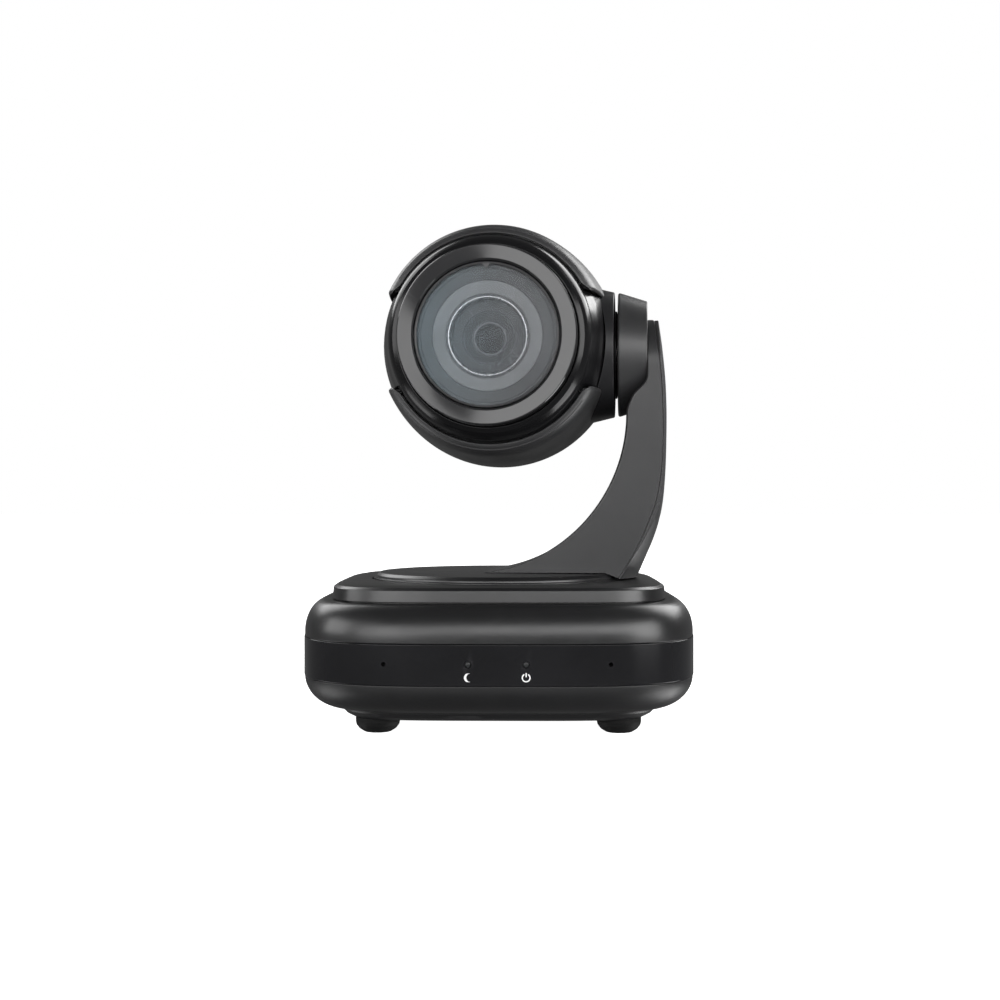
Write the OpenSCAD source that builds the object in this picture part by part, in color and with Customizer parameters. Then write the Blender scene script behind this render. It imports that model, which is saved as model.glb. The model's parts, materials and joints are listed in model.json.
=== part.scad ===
/* [Base] */
// Width and depth of the rounded-square base
base_size = 120; // [116:1:124]
// Height of the glossy band round the base
band_height = 11.8; // [10:0.1:12]
// Wall thickness of the moulded base shells
base_wall = 2.2; // [1.8:0.1:2.6]
// Height of the rubber feet
foot_height = 4.5; // [3:0.5:6]
// Distance of each foot from the two middle planes
foot_spread = 36; // [32:1:37]

/* [Pan turntable] */
// Angle of the turntable at rest
pan_rest = -5; // [-20:1:20]
// Radius of the turntable disc
disc_radius = 40; // [38:1:41]
// Module of the pan gear pair
gear_module = 0.8; // [0.8]
// Teeth on the pan gear
gear_teeth = 60; // [60]
// Teeth on the pan motor's pinion
pinion_teeth = 15; // [15]

/* [Arm] */
// Half of the arm's depth from front to back
arm_half_depth = 17; // [15:0.5:18]
// Height of the tilt axis above the table
tilt_height = 115.6; // [115.2:0.1:116]

/* [Head] */
// Largest radius of the head's outer shells
head_radius = 38.3; // [37.8:0.1:38.6]
// Wall thickness of the head's outer shells
head_wall = 2; // [1.6:0.1:2.2]
// Height of the optical axis above the tilt axis
lens_rise = 2.4; // [2:0.1:3]
// Half height of the side notches between the head's shells
notch_half = 14.8; // [14:0.1:15.5]
// Outer radius of the lens ring
lens_ring_radius = 26.8; // [26.4:0.1:27]

/* [Hidden] */
$fn = 64;

base_half = base_size / 2;
plan_power = 4;
plan_steps = 64;
deepest_inset = 17;
eps = 0.02;
slide_gap = 0.05;

// Heights in the base, from the table up
plate_top = foot_height + 3;
lower_bottom = plate_top;
band_bottom = 16.4;
band_top = band_bottom + band_height;
upper_straight = band_top + 1.2;
upper_top = 39;
shell_inset = 0.2;
upper_shoulder = 6.5;
lower_shoulder = 9.8;
cover_top = 44;
disc_bottom = 43.6;
disc_top = 46.3;
board_bottom = 12.5;
board_top = board_bottom + 1.6;
chassis_bottom = 29.5;
chassis_top = 31.5;
post_place = 38.5;
standoff_place = 31;

// Back panel and what shows on the front band
panel_half = 38;
panel_low = 12;
panel_high = 27.2;
panel_face = base_half - 3.2;
port_height = 19.6;
dc_place = -26;
usb_place = -3;
control_place = 22;
mic_place = 32.2;
status_place = 8.2;
status_height = 22.5;

// Pan bearing
race_middle = 34.8;
ball_ring = 11.75;

// Gear pair
gear_radius = gear_module * gear_teeth / 2;
pinion_radius = gear_module * pinion_teeth / 2;
gear_distance = gear_radius + pinion_radius;
gear_bottom = 24;
gear_thick = 4;
pressure_angle = 20;
backlash = 0.12;

// Tilt drive, along the tilt axis from the pan axis
hub_start = 38.3;
hub_radius = 20;
arm_inner = 46.6;
bush_end = 46;
pocket_floor = 47.6;
belt_start = 48;
belt_wide = 2.2;
tilt_pulley_radius = 7.6;
drive_pulley_radius = 3.8;
motor_height = 70;
shaft_radius = 8;
shaft_bore = 5;

// Lens stations, forward of the tilt axis
rear_centre = -6.3;
lip_start = 20.4;
seam_front = 30;
seam_radius = 32;
ring_front = 41.5;
barrel_bore = 13.2;
screw_ring = 10.6;
screw_angle = 60;
zoom_start = 12;
focus_start = -5;
carriage_thick = 4;

// How far a rounded square of half width 1 reaches at angle a
function plan_radius(a) =
    let (total = pow(abs(cos(a)), plan_power) + pow(abs(sin(a)), plan_power))
    1 / pow(total, 1 / plan_power);
function signed_power(v) = sign(v) * pow(abs(v), plan_power - 1);
// The base's rounded square drawn in by the same distance all round, until it's half wide
function plan_outline(half) =
    let (
        inset = min(base_half - half, deepest_inset),
        shrink = half / (base_half - inset)
    )
    [
        for (i = [0 : plan_steps - 1])
            let (
                a = 360 * i / plan_steps,
                edge = base_half * plan_radius(a) * [cos(a), sin(a)],
                outward = [signed_power(edge[0]), signed_power(edge[1])]
            )
            shrink * (edge - inset * outward / norm(outward))
    ];
function arc_points(cx, cy, r, a0, a1, n) = [
    for (i = [0 : n])
        let (a = a0 + (a1 - a0) * i / n)
        [cx + r * cos(a), cy + r * sin(a)]
];

// A solid whose plan is the rounded square, through a list of [height, half width]
module stacked_plan(levels) {
    count = len(levels);
    points = [for (l = levels) for (p = plan_outline(l[1])) [p[0], p[1], l[0]]];
    sides = [
        for (k = [0 : count - 2])
            for (i = [0 : plan_steps - 1])
                let (j = (i + 1) % plan_steps, low = k * plan_steps, high = low + plan_steps)
                [low + i, high + i, high + j, low + j]
    ];
    floor_face = [for (i = [0 : plan_steps - 1]) i];
    roof_face = [for (i = [plan_steps - 1 : -1 : 0]) (count - 1) * plan_steps + i];
    polyhedron(concat(points), concat(sides, [floor_face, roof_face]));
}

module plan_slab(half, z0, z1) {
    translate([0, 0, z0])
        linear_extrude(z1 - z0)
            polygon(plan_outline(half));
}

module four_corners(place) {
    for (x = [-1, 1])
        for (y = [-1, 1])
            translate([x * place, y * place, 0])
                children();
}

module four_sides(place) {
    for (a = [0 : 90 : 270])
        rotate([0, 0, a])
            translate([place, 0, 0])
                children();
}

module tube(r_out, r_in, z0, z1) {
    translate([0, 0, z0])
        difference() {
            cylinder(r = r_out, h = z1 - z0);
            translate([0, 0, -1])
                cylinder(r = r_in, h = z1 - z0 + 2);
        }
}

module rod(r, z0, z1) {
    translate([0, 0, z0])
        cylinder(r = r, h = z1 - z0);
}

module block(low, high) {
    translate(low)
        cube(high - low);
}

// ---------------------------------------------------------------- base shells

function upper_levels(inset) = concat(
    [[band_top + (inset > 0 ? -1 : 0), base_half - shell_inset - inset]],
    [for (a = [0 : 15 : 90]) [
        upper_straight + (upper_top - upper_straight - inset) * sin(a),
        base_half - shell_inset - inset - upper_shoulder * (1 - cos(a))
    ]]
);

function lower_levels(inset) = concat(
    [for (a = [90 : -15 : 0]) [
        band_bottom - (band_bottom - lower_bottom - inset) * sin(a),
        base_half - shell_inset - inset - lower_shoulder * (1 - cos(a))
    ]],
    inset > 0 ? [[band_bottom + 1, base_half - shell_inset - inset]] : []
);

module base_upper_shell() {
    color([0.15, 0.15, 0.155])
    difference() {
        union() {
            difference() {
                stacked_plan(upper_levels(0));
                stacked_plan(upper_levels(base_wall));
            }
            four_corners(post_place)
                rod(4, 22, upper_top - base_wall + 0.5);
        }
        plan_slab(46, upper_top - 6, upper_top + 1);
        four_corners(post_place)
            rod(1.25, 21, 33);
    }
}

module base_lower_shell() {
    color([0.12, 0.12, 0.125])
    difference() {
        union() {
            difference() {
                stacked_plan(lower_levels(0));
                stacked_plan(lower_levels(base_wall));
            }
            four_corners(post_place)
                rod(4, lower_bottom + 1, 22);
            four_corners(standoff_place)
                rod(3.2, lower_bottom + 1, board_bottom);
            four_sides(38)
                rod(3.4, lower_bottom + 1, board_bottom - 0.5);
        }
        plan_slab(32.5, lower_bottom - 1, lower_bottom + base_wall + 0.2);
        four_corners(post_place) {
            rod(1.6, lower_bottom - 1, 23);
            rod(3.1, lower_bottom - 1, lower_bottom + 3);
        }
        four_corners(standoff_place)
            rod(1.25, lower_bottom - 1, board_bottom + 1);
        four_sides(38)
            rod(1.25, lower_bottom - 1, board_bottom - 2);
        port_window();
    }
}

// The opening at the back that the connector panel fills
module port_window() {
    block(
        [-panel_half - 0.1, panel_face - 4, panel_low - 0.1],
        [panel_half + 0.1, base_half + 2, panel_high + 0.1]
    );
}

module front_band() {
    color([0.06, 0.06, 0.065])
    difference() {
        translate([0, 0, band_bottom])
            linear_extrude(band_height)
                difference() {
                    polygon(plan_outline(base_half));
                    polygon(plan_outline(base_half - 2.3));
                }
        port_window();
        for (x = [-mic_place, mic_place])
            translate([x, -base_half - 1, status_height])
                rotate([-90, 0, 0])
                    cylinder(r = 0.65, h = 6);
        for (x = [-status_place, status_place])
            translate([x, -base_half - 1, status_height])
                rotate([-90, 0, 0])
                    cylinder(r = 1, h = 6);
    }
}

module top_cover() {
    color([0.13, 0.13, 0.135])
    difference() {
        union() {
            stacked_plan([
                [upper_top, 51.5], [39.7, 51.3], [42.2, 49.4], [43.1, 48], [43.7, 46.4], [cover_top, 44]
            ]);
            plan_slab(45.8, upper_top - 1.6, upper_top + 0.5);
        }
        plan_slab(43.6, upper_top - 3, 41.6);
        rod(15, upper_top - 4, cover_top + 1);
        rod(disc_radius + 1.4, 43.2, cover_top + 1);
    }
}

module bottom_plate() {
    color([0.1, 0.1, 0.105])
    difference() {
        union() {
            plan_slab(45, foot_height, foot_height + 1);
            plan_slab(47.4, foot_height + 0.6, foot_height + 1.8);
            plan_slab(48.8, foot_height + 1.6, plate_top);
        }
        plan_slab(30, foot_height + 2, plate_top + 1);
        rod(5.6, 0, 10);
        four_corners(foot_spread)
            rod(2.5, 0, plate_top + 1);
        four_sides(38) {
            rod(1.7, 0, plate_top + 1);
            rod(3, 0, foot_height + 1.2);
        }
    }
}

module rubber_feet() {
    color([0.07, 0.07, 0.07])
    four_corners(foot_spread)
        rotate_extrude()
            polygon([
                [0, 0], [4, 0], [4.7, 0.3], [5.45, 0.9], [6, 1.5], [6.45, 2.1], [6.65, 2.8],
                [6.65, foot_height],
                [2.4, foot_height], [2.4, foot_height + 2.4], [0, foot_height + 2.4]
            ]);
}

module tripod_insert() {
    color([0.75, 0.6, 0.3])
    difference() {
        union() {
            rod(5.5, foot_height, 11);
            rod(8, foot_height + 2, foot_height + 3.4);
        }
        rod(2.55, 0, 10.4);
    }
}

// A pan-headed screw hanging head down, from the head's top face at z = 0 upwards
module screw(shank_r, head_r, head_h, length) {
    difference() {
        union() {
            rod(head_r, -head_h, 0);
            rod(shank_r, -head_h / 2, length);
        }
        translate([0, 0, -head_h - 0.1])
            cylinder(r = head_r * 0.45, h = head_h * 0.6, $fn = 6);
    }
}

module shell_screws() {
    color([0.3, 0.3, 0.32])
    four_corners(post_place)
        translate([0, 0, lower_bottom + 3])
            screw(1.2, 2.6, 1.6, 20);
}

module short_screws() {
    color([0.3, 0.3, 0.32]) {
        four_sides(38)
            translate([0, 0, foot_height + 1.2])
                screw(1.2, 2.6, 1.1, 4.8);
        four_corners(standoff_place)
            translate([0, 0, chassis_top])
                mirror([0, 0, 1])
                    screw(1.2, 2.6, 1.4, 6);
    }
}

// ---------------------------------------------------------------- base inside

module main_board() {
    color([0.05, 0.3, 0.15])
    difference() {
        plan_slab(52, board_bottom, board_top);
        four_corners(post_place)
            rod(5, board_bottom - 1, board_top + 1);
        four_corners(standoff_place)
            rod(1.5, board_bottom - 1, board_top + 1);
    }
}

module board_chips() {
    color([0.08, 0.08, 0.09]) {
        block([-22, -24, board_top], [-6, -8, board_top + 1.4]);
        block([6, -20, board_top], [17, -12, board_top + 1.2]);
        block([6, -34, board_top], [14, -27, board_top + 3.5]);
        block([-36, -12, board_top], [-28, -4, board_top + 4]);
        for (x = [24 : 8 : 40])
            translate([x, 12, 0])
                rod(3, board_top, board_top + 6);
        block([-3, -52.5, board_top], [3, -50, board_top + 6]);
    }
}

module board_standoffs() {
    color([0.75, 0.62, 0.35])
    four_corners(standoff_place)
        difference() {
            union() {
                translate([0, 0, board_top])
                    cylinder(r = 2.9, h = chassis_bottom - board_top, $fn = 6);
                rod(1.2, board_bottom - 3, board_top + 1);
            }
            rod(1.25, chassis_bottom - 5.5, chassis_bottom + 1);
        }
}

module chassis_plate() {
    color([0.6, 0.6, 0.62])
    difference() {
        union() {
            plan_slab(39.5, chassis_bottom, chassis_top);
            rod(17, chassis_top - 1, 38.3);
        }
        rod(12, chassis_bottom - 1, 40);
        rod(15.05, chassis_top, 40);
        translate([0, gear_distance, 0])
            rod(pinion_radius + 1.4, chassis_bottom - 1, chassis_top + 1);
        four_corners(standoff_place)
            rod(1.5, chassis_bottom - 1, chassis_top + 1);
    }
}

module ball_groove() {
    translate([0, 0, race_middle])
        rotate_extrude()
            translate([ball_ring, 0])
                circle(r = 1.45);
}

module bearing_outer_race() {
    color([0.7, 0.7, 0.72])
    difference() {
        tube(15, 12.6, chassis_top, 38);
        ball_groove();
    }
}

module bearing_inner_race() {
    color([0.72, 0.72, 0.74])
    difference() {
        tube(10.9, 9.05, chassis_top + 0.2, 37.8);
        ball_groove();
    }
}

module bearing_balls() {
    color([0.8, 0.8, 0.82])
    for (i = [0 : 9])
        rotate([0, 0, 36 * i])
            translate([ball_ring, 0, race_middle])
                sphere(r = 1.3);
}

module pan_motor() {
    color([0.45, 0.45, 0.48])
    translate([0, gear_distance, 0])
        difference() {
            union() {
                rod(12, chassis_top + 0.01, 40);
                rod(5.5, chassis_top - 1, chassis_top + 1);
                for (x = [-14, 14])
                    translate([x, 0, 0])
                        rod(2.6, chassis_top + 0.01, chassis_top + 1);
                block([-14, -2.6, chassis_top + 0.01], [14, 2.6, chassis_top + 1]);
            }
            rod(1.6, chassis_top - 2, 38.4);
        }
}

// ---------------------------------------------------------------- gears

function involute_angle(base_r, r) =
    let (p = acos(min(1, base_r / r)))
    tan(p) * 180 / PI - p;

// Half the angle that a tooth fills at radius r
function tooth_half(teeth, r) =
    let (
        pitch = gear_module * teeth / 2,
        base_r = pitch * cos(pressure_angle),
        at_pitch = 90 / teeth - backlash / 2 / pitch * 180 / PI
    )
    at_pitch + involute_angle(base_r, pitch) - involute_angle(base_r, max(r, base_r));

function tooth_points(teeth, root, tip, turn) =
    let (
        steps = 4,
        radii = [for (i = [0 : steps]) root + (tip - root) * i / steps]
    )
    concat(
        [for (i = [0 : steps]) let (a = turn - tooth_half(teeth, radii[i])) radii[i] * [cos(a), sin(a)]],
        [for (i = [steps : -1 : 0]) let (a = turn + tooth_half(teeth, radii[i])) radii[i] * [cos(a), sin(a)]]
    );

module gear_plan(teeth, addendum, first) {
    pitch = gear_module * teeth / 2;
    root = pitch - 1.25 * gear_module;
    tip = pitch + addendum * gear_module;
    polygon([
        for (i = [0 : teeth - 1])
            each tooth_points(teeth, root, tip, first + 360 * i / teeth)
    ]);
}

module pan_gear() {
    color([0.85, 0.85, 0.8])
    difference() {
        translate([0, 0, gear_bottom])
            linear_extrude(gear_thick)
                gear_plan(gear_teeth, 0.8, 0);
        rod(9.03, gear_bottom - 1, gear_bottom + gear_thick + 1);
    }
}

module pan_pinion() {
    color([0.75, 0.7, 0.5])
    translate([0, gear_distance, 0]) {
        translate([0, 0, gear_bottom - 0.4])
            linear_extrude(gear_thick + 0.8)
                gear_plan(pinion_teeth, 0.9, 180 / pinion_teeth - 90);
        rod(1.52, gear_bottom - 1.2, 38);
    }
}

// ---------------------------------------------------------------- back panel and ports

module rear_panel() {
    color([0.09, 0.09, 0.095])
    difference() {
        block([-panel_half, panel_face - 2, panel_low], [panel_half, panel_face, panel_high]);
        translate([dc_place, panel_face - 3, port_height])
            rotate([-90, 0, 0])
                cylinder(r = 4.1, h = 4);
        translate([control_place, panel_face - 3, port_height])
            rotate([-90, 0, 0])
                cylinder(r = 5.1, h = 4);
        translate([usb_place, 0, port_height])
            block([-6.1, panel_face - 3, -5.6], [6.1, panel_face + 1, 5.6]);
    }
}

module dc_jack() {
    color([0.1, 0.1, 0.1])
    difference() {
        union() {
            translate([dc_place, 0, 0])
                block([-4.5, panel_face - 14, board_top], [4.5, panel_face - 2.1, port_height + 5]);
            translate([dc_place, panel_face - 3, port_height])
                rotate([-90, 0, 0])
                    cylinder(r = 4, h = 3.2);
        }
        difference() {
            translate([dc_place, panel_face - 10, port_height])
                rotate([-90, 0, 0])
                    cylinder(r = 2.9, h = 14);
            translate([dc_place, panel_face - 11, port_height])
                rotate([-90, 0, 0])
                    cylinder(r = 1.05, h = 10);
        }
    }
}

module usb_port() {
    color([0.75, 0.75, 0.77])
    translate([usb_place, 0, port_height])
        difference() {
            block([-6, panel_face - 16, board_top - port_height], [6, panel_face + 0.3, 5.5]);
            difference() {
                block([-4.25, panel_face - 12, -4], [4.25, panel_face + 1, 4]);
                block([-2.8, panel_face - 13, -1.6], [2.8, panel_face - 4.8, 1.6]);
            }
        }
}

module control_port() {
    color([0.12, 0.12, 0.12])
    difference() {
        union() {
            translate([control_place, 0, 0])
                block([-6.5, panel_face - 14, board_top], [6.5, panel_face - 2.1, port_height + 6.5]);
            translate([control_place, panel_face - 3, port_height])
                rotate([-90, 0, 0])
                    cylinder(r = 5, h = 3.2);
        }
        translate([control_place, panel_face - 5.5, port_height])
            rotate([-90, 0, 0])
                cylinder(r = 4.4, h = 8);
    }
}

module status_lenses() {
    color([0.2, 0.22, 0.25])
    for (x = [-status_place, status_place])
        translate([x, 0, status_height])
            rotate([90, 0, 0]) {
                translate([0, 0, base_half - 6])
                    cylinder(r = 0.9, h = 5.8);
                translate([0, 0, base_half - 6])
                    cylinder(r = 1.8, h = 2.6);
            }
}

module microphones() {
    color([0.5, 0.5, 0.5])
    for (x = [-mic_place, mic_place])
        translate([x, 0, status_height])
            rotate([90, 0, 0])
                translate([0, 0, base_half - 7.5])
                    cylinder(r = 2.5, h = 3);
}

module base_cable() {
    color([0.15, 0.15, 0.16]) {
        rod(2.4, board_top + 3, 43);
        block([-5, -3, board_top], [5, 3, board_top + 3]);
    }
}

// ---------------------------------------------------------------- pan body

module pan_frame() {
    rotate([0, 0, pan_rest])
        children();
}

// Draws children's plan in Y and Z and extrudes it along the tilt axis
module along_tilt(start, length) {
    translate([start, 0, 0])
        rotate([90, 0, 90])
            linear_extrude(length)
                children();
}

module tilt_rod(r, start, end, height) {
    translate([start, 0, height])
        rotate([0, 90, 0])
            cylinder(r = r, h = end - start);
}

module pan_shaft() {
    color([0.65, 0.65, 0.68])
    difference() {
        union() {
            rod(9, 22.6, disc_bottom);
            rod(13.5, 41.6, disc_bottom);
            rod(10.4, 37.8, 41.6);
        }
        rod(5, 20, disc_bottom + 1);
        tube(10, 8.2, 22.9, 23.8);
    }
}

module turntable() {
    color([0.12, 0.12, 0.125])
    pan_frame()
        difference() {
            rotate_extrude($fn = 96)
                polygon(concat(
                    [[0, disc_bottom], [disc_radius + 0.8, disc_bottom], [disc_radius + 0.8, 44.2]],
                    arc_points(disc_radius - 1.6, disc_top - 1.9, 1.6, 10, 90, 5),
                    [[0, disc_top]]
                ));
            block([-3.2, -3.2, disc_bottom - 1], [33.2, 3.2, 45]);
            block([29.4, -3.2, disc_bottom], [33.2, 3.2, disc_top + 1]);
            arm_screw_places() {
                rod(1.6, disc_bottom - 1, disc_top + 1);
                rod(2.9, disc_bottom - 1, disc_bottom + 1.4);
            }
        }
}

module arm_screw_places() {
    for (x = [16, 30])
        for (y = [-11, 11])
            translate([x, y, 0])
                children();
}

module arm_screws() {
    color([0.3, 0.3, 0.32])
    pan_frame()
        arm_screw_places()
            translate([0, 0, disc_bottom + 1.4])
                screw(1.2, 2.6, 1.2, 6);
}

// The arm's top, and the radius that rounds it seen from the side
arm_top = 126.4;
arm_top_radius = 15;
// The belt pocket's top beside the pulley, and the pulley's round space in it
pocket_top = 118.6;
pulley_space = 9.4;
// The arm's outer edge seen from the front, as [height, distance from the pan axis]
arm_edge = [
    [44.5, 44.3], [46.5, 45.1], [51.5, 47.3], [56.5, 49.4], [62, 51.2], [69, 52.6], [79, 53.4],
    [90, 53.7], [99, 53.7], [108, 53.3], [118, 52.3], [124.7, 51.4], [125.9, 50.7], [arm_top, 49.8]
];
// The seam between the arm and its side cover, in the same way
arm_seam = [
    [44.5, 38.4], [50, 42], [56, 45.2], [62, 47.8], [69, 50.3], [79, 51.9],
    [90, 52.4], [104, 52], [114, 51.1], [125, 49.7], [arm_top, 49.4]
];
// How far the outer face's curve reaches at the foot, where it follows the disc
foot_curve = [
    [44, 28.4], [50, 31.4], [56, 34.6], [62, 37.4], [69, 41], [79, 60], [132, 60]
];
foot_centre = 16;
crown_centre = -90;
inner_x = -9;
inner_z = 96;
inner_radius = 50;

function swap(list) = [for (p = list) [p[1], p[0]]];

// The arm from the front, open on the outer side, where the crowned outer face bounds it
module arm_outline() {
    polygon(concat(
        [[30, 44.5], [62, 44.5], [62, arm_top]],
        [[47.4, arm_top], [arm_inner, arm_top - 0.9], [arm_inner, 105], [44, 101.5], [41.2, 98]],
        arc_points(inner_x, inner_z, inner_radius, 2, -83.6, 28),
        [[-3.4, disc_top]],
        [[30, disc_top]]
    ));
}

// Everything on the pan axis' side of the seam, and everything beyond it
module inside_seam() {
    rotate([90, 0, 0])
        linear_extrude(60, center = true)
            polygon(concat([[-20, 40], [35.4, 40]], swap(arm_seam), [[48, 140], [-20, 140]]));
}

module outside_seam() {
    rotate([90, 0, 0])
        linear_extrude(60, center = true)
            polygon(concat([[80, 40], [35.4, 40]], swap(arm_seam), [[48, 140], [80, 140]]));
}

module arm_body() {
    intersection() {
        rotate([90, 0, 0])
            linear_extrude(2 * arm_half_depth, center = true)
                arm_outline();
        translate([crown_centre, 0, 0])
            rotate_extrude($fn = 360)
                polygon(concat(
                    [[0, 40], [arm_edge[0][1] - crown_centre, 40]],
                    [for (p = arm_edge) [p[1] - crown_centre, p[0]]],
                    [[0, arm_edge[len(arm_edge) - 1][0]]]
                ));
        union() {
            translate([foot_centre, 0, 0])
                rotate_extrude($fn = 180)
                    polygon(concat([[0, 44]], swap(foot_curve), [[0, 132]]));
            block([-30, -30, 44], [foot_centre, 30, 132]);
        }
        union() {
            block([-30, -30, 40], [70, 30, arm_top - arm_top_radius]);
            for (y = [-1, 1])
                translate([0, y * (arm_half_depth - arm_top_radius), 0])
                    tilt_rod(arm_top_radius, -30, 70, arm_top - arm_top_radius);
            block(
                [-30, arm_top_radius - arm_half_depth, 100],
                [70, arm_half_depth - arm_top_radius, arm_top]
            );
        }
    }
}

module belt_pocket(deepest) {
    block([pocket_floor, -14, 58.6], [deepest, 14, pocket_top]);
    tilt_rod(pulley_space, pocket_floor, deepest, tilt_height);
}

module arm_frame() {
    color([0.16, 0.16, 0.165])
    pan_frame()
        difference() {
            union() {
                intersection() {
                    arm_body();
                    inside_seam();
                }
                translate([hub_start, 0, tilt_height])
                    rotate([0, 90, 0])
                        cylinder(r1 = hub_radius, r2 = hub_radius - 3, h = pocket_floor - hub_start);
            }
            belt_pocket(60);
            tilt_rod(pulley_space, hub_start - 1, pocket_floor + 1, tilt_height);
            tilt_rod(11.05, hub_start - 1, bush_end + 0.05, tilt_height);
            tilt_rod(12.6, hub_start - 1, hub_start + 1.2, tilt_height);
            tilt_rod(9.5, 40.4, pocket_floor + 1, motor_height);
            block([29.4, -4, 44], [48.2, 4, 60.6]);
            rod(disc_radius + 1.1, 40, disc_top + eps);
            arm_screw_places()
                rod(1.25, 40, disc_top + 5);
        }
}

module arm_side_cover() {
    color([0.17, 0.17, 0.175])
    pan_frame()
        difference() {
            intersection() {
                arm_body();
                outside_seam();
            }
            rod(disc_radius + 1.1, 40, disc_top + eps);
            block([40, -14, 58.6], [49, 14, pocket_top]);
            block([48.5, -10.5, 64], [50.6, 10.5, pocket_top]);
            tilt_rod(pulley_space, 40, 50.6, tilt_height);
            block([48.7, -3, 109.5], [51.25, 12.3, 119]);
        }
}

module tilt_bush() {
    color([0.7, 0.55, 0.3])
    pan_frame()
        difference() {
            union() {
                tilt_rod(11, hub_start + 0.1, bush_end, tilt_height);
                tilt_rod(12.5, hub_start + 0.1, hub_start + 1.1, tilt_height);
            }
            tilt_rod(shaft_radius + slide_gap, hub_start - 1, 49, tilt_height);
        }
}

module tilt_motor() {
    color([0.45, 0.45, 0.48])
    pan_frame()
        difference() {
            tilt_rod(9.2, 40.6, 47.4, motor_height);
            tilt_rod(1.06, 41.5, 48, motor_height);
        }
}

// A belt or pulley outline round the tilt shaft and the motor shaft, this far outside the pulleys
function loop_outline(gap) =
    let (
        turn = asin((tilt_pulley_radius - drive_pulley_radius) / (tilt_height - motor_height))
    )
    concat(
        arc_points(0, tilt_height, tilt_pulley_radius + gap, -turn, 180 + turn, 28),
        arc_points(0, motor_height, drive_pulley_radius + gap, 180 + turn, 360 - turn, 16)
    );

module tilt_belt() {
    color([0.08, 0.08, 0.08])
    pan_frame()
        along_tilt(belt_start + 0.1, belt_wide - 0.2)
            difference() {
                polygon(loop_outline(1.1));
                polygon(loop_outline(0.15));
            }
}

module pulley_plan(teeth, r) {
    polygon([
        for (i = [0 : teeth - 1])
            for (q = [[0.04, r - 0.5], [0.22, r], [0.68, r], [0.86, r - 0.5]])
                let (a = (i + q[0]) * 360 / teeth)
                q[1] * [cos(a), sin(a)]
    ]);
}

module tilt_drive_pulley() {
    color([0.75, 0.75, 0.77])
    pan_frame() {
        along_tilt(belt_start, belt_wide)
            translate([0, motor_height])
                pulley_plan(12, drive_pulley_radius);
        tilt_rod(1, 42, belt_start + belt_wide, motor_height);
    }
}

module arm_cable() {
    color([0.2, 0.2, 0.22])
    pan_frame() {
        block([-2.5, -2.5, 44.2], [31.5, 2.5, 44.7]);
        block([31, -2.5, 44.2], [31.5, 2.5, 59.7]);
        block([31, -2.5, 59.2], [48.6, 2.5, 59.7]);
        block([48.1, -2.5, 59.2], [48.6, 13.6, 61.7]);
        block([48.1, 9.8, 60], [48.6, 13.6, 113]);
        block([48.1, 11.2, 110], [51.1, 11.7, 118]);
        block([50.6, -1.4, 114.8], [51.1, 11.7, 118]);
        tilt_rod(1.4, 26, 51.1, tilt_height);
    }
}

// ---------------------------------------------------------------- head

// Origin on the tilt axis; -Y points out of the lens
module head_frame() {
    pan_frame()
        translate([0, 0, tilt_height])
            children();
}

// Turns a profile of [radius, distance forward] round the optical axis
module lens_turn() {
    translate([0, 0, lens_rise])
        rotate([90, 0, 0])
            rotate_extrude($fn = 96)
                children();
}

module head_profile(inset) {
    lip = seam_front - lip_start - inset;
    polygon(concat(
        arc_points(0, rear_centre, head_radius - inset, -90, 0, 24),
        [for (t = [0 : 15 : 90]) [seam_radius - inset + 4 * cos(t), lip_start + lip * sin(t)]],
        [[0, seam_front - inset]]
    ));
}

// The space of the two side notches, straight at the front and round at the back
module notch_space(half, back) {
    for (side = [-1, 1])
        translate([0, 0, lens_rise]) {
            block(
                [side > 0 ? 12 : -60, -60, -half],
                [side > 0 ? 60 : -12, 0, half]
            );
            translate([side * 36, 0, 0])
                rotate([0, 90, 0])
                    cylinder(r = back, h = 48, center = true);
        }
}

module head_shell(up) {
    head_frame()
        difference() {
            lens_turn()
                difference() {
                    head_profile(0);
                    head_profile(head_wall);
                    translate([0, seam_front - 5])
                        square([seam_radius - 0.15, 10]);
                }
            notch_space(notch_half, notch_half);
            translate([-60, -60, lens_rise - (up ? 120 : 0)])
                cube([120, 120, 120]);
        }
}

module head_top_shell() {
    color([0.15, 0.15, 0.155])
    head_shell(true);
}

module head_bottom_shell() {
    color([0.14, 0.14, 0.145])
    head_shell(false);
}

module inner_body() {
    color([0.05, 0.05, 0.055])
    head_frame()
        difference() {
            union() {
                lens_turn()
                    polygon([
                        [31.6, -14], [33.4, -14], [33.4, 1], [35.3, 1], [35.2, 3], [33.4, 3],
                        [33.4, 13], [34.2, 13], [34.1, 15], [33, 15], [33, 20], [32, 26],
                        [31.6, 29], [31.4, 30.4], [30.9, 32.6], [30, 34.6], [28.9, 36], [27.4, 37],
                        [27, 36.2], [21, 36.2], [21, 35.3], [16, 35.3], [16, 34], [27.8, 34], [29.4, 30.4],
                        [31, 20]
                    ]);
                intersection() {
                    lens_turn()
                        polygon([
                            [32, -20], [37, -20], [37.3, 0], [36.5, 8], [35.4, 15], [33.8, 22.5],
                            [32.4, 28], [31.2, 30.4], [30.6, 30.4], [30.6, 26], [32, 18]
                        ]);
                    notch_space(notch_half - 0.3, notch_half - 0.3);
                }
            }
            tilt_rod(shaft_radius + 0.1, 20, 45, 0);
            lens_screw_places()
                cylinder(r = 0.85, h = 5);
        }
}

module lens_screw_places() {
    for (a = [45 : 90 : 315])
        translate([18.4 * cos(a), -31, lens_rise + 18.4 * sin(a)])
            rotate([90, 0, 0])
                children();
}

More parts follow.
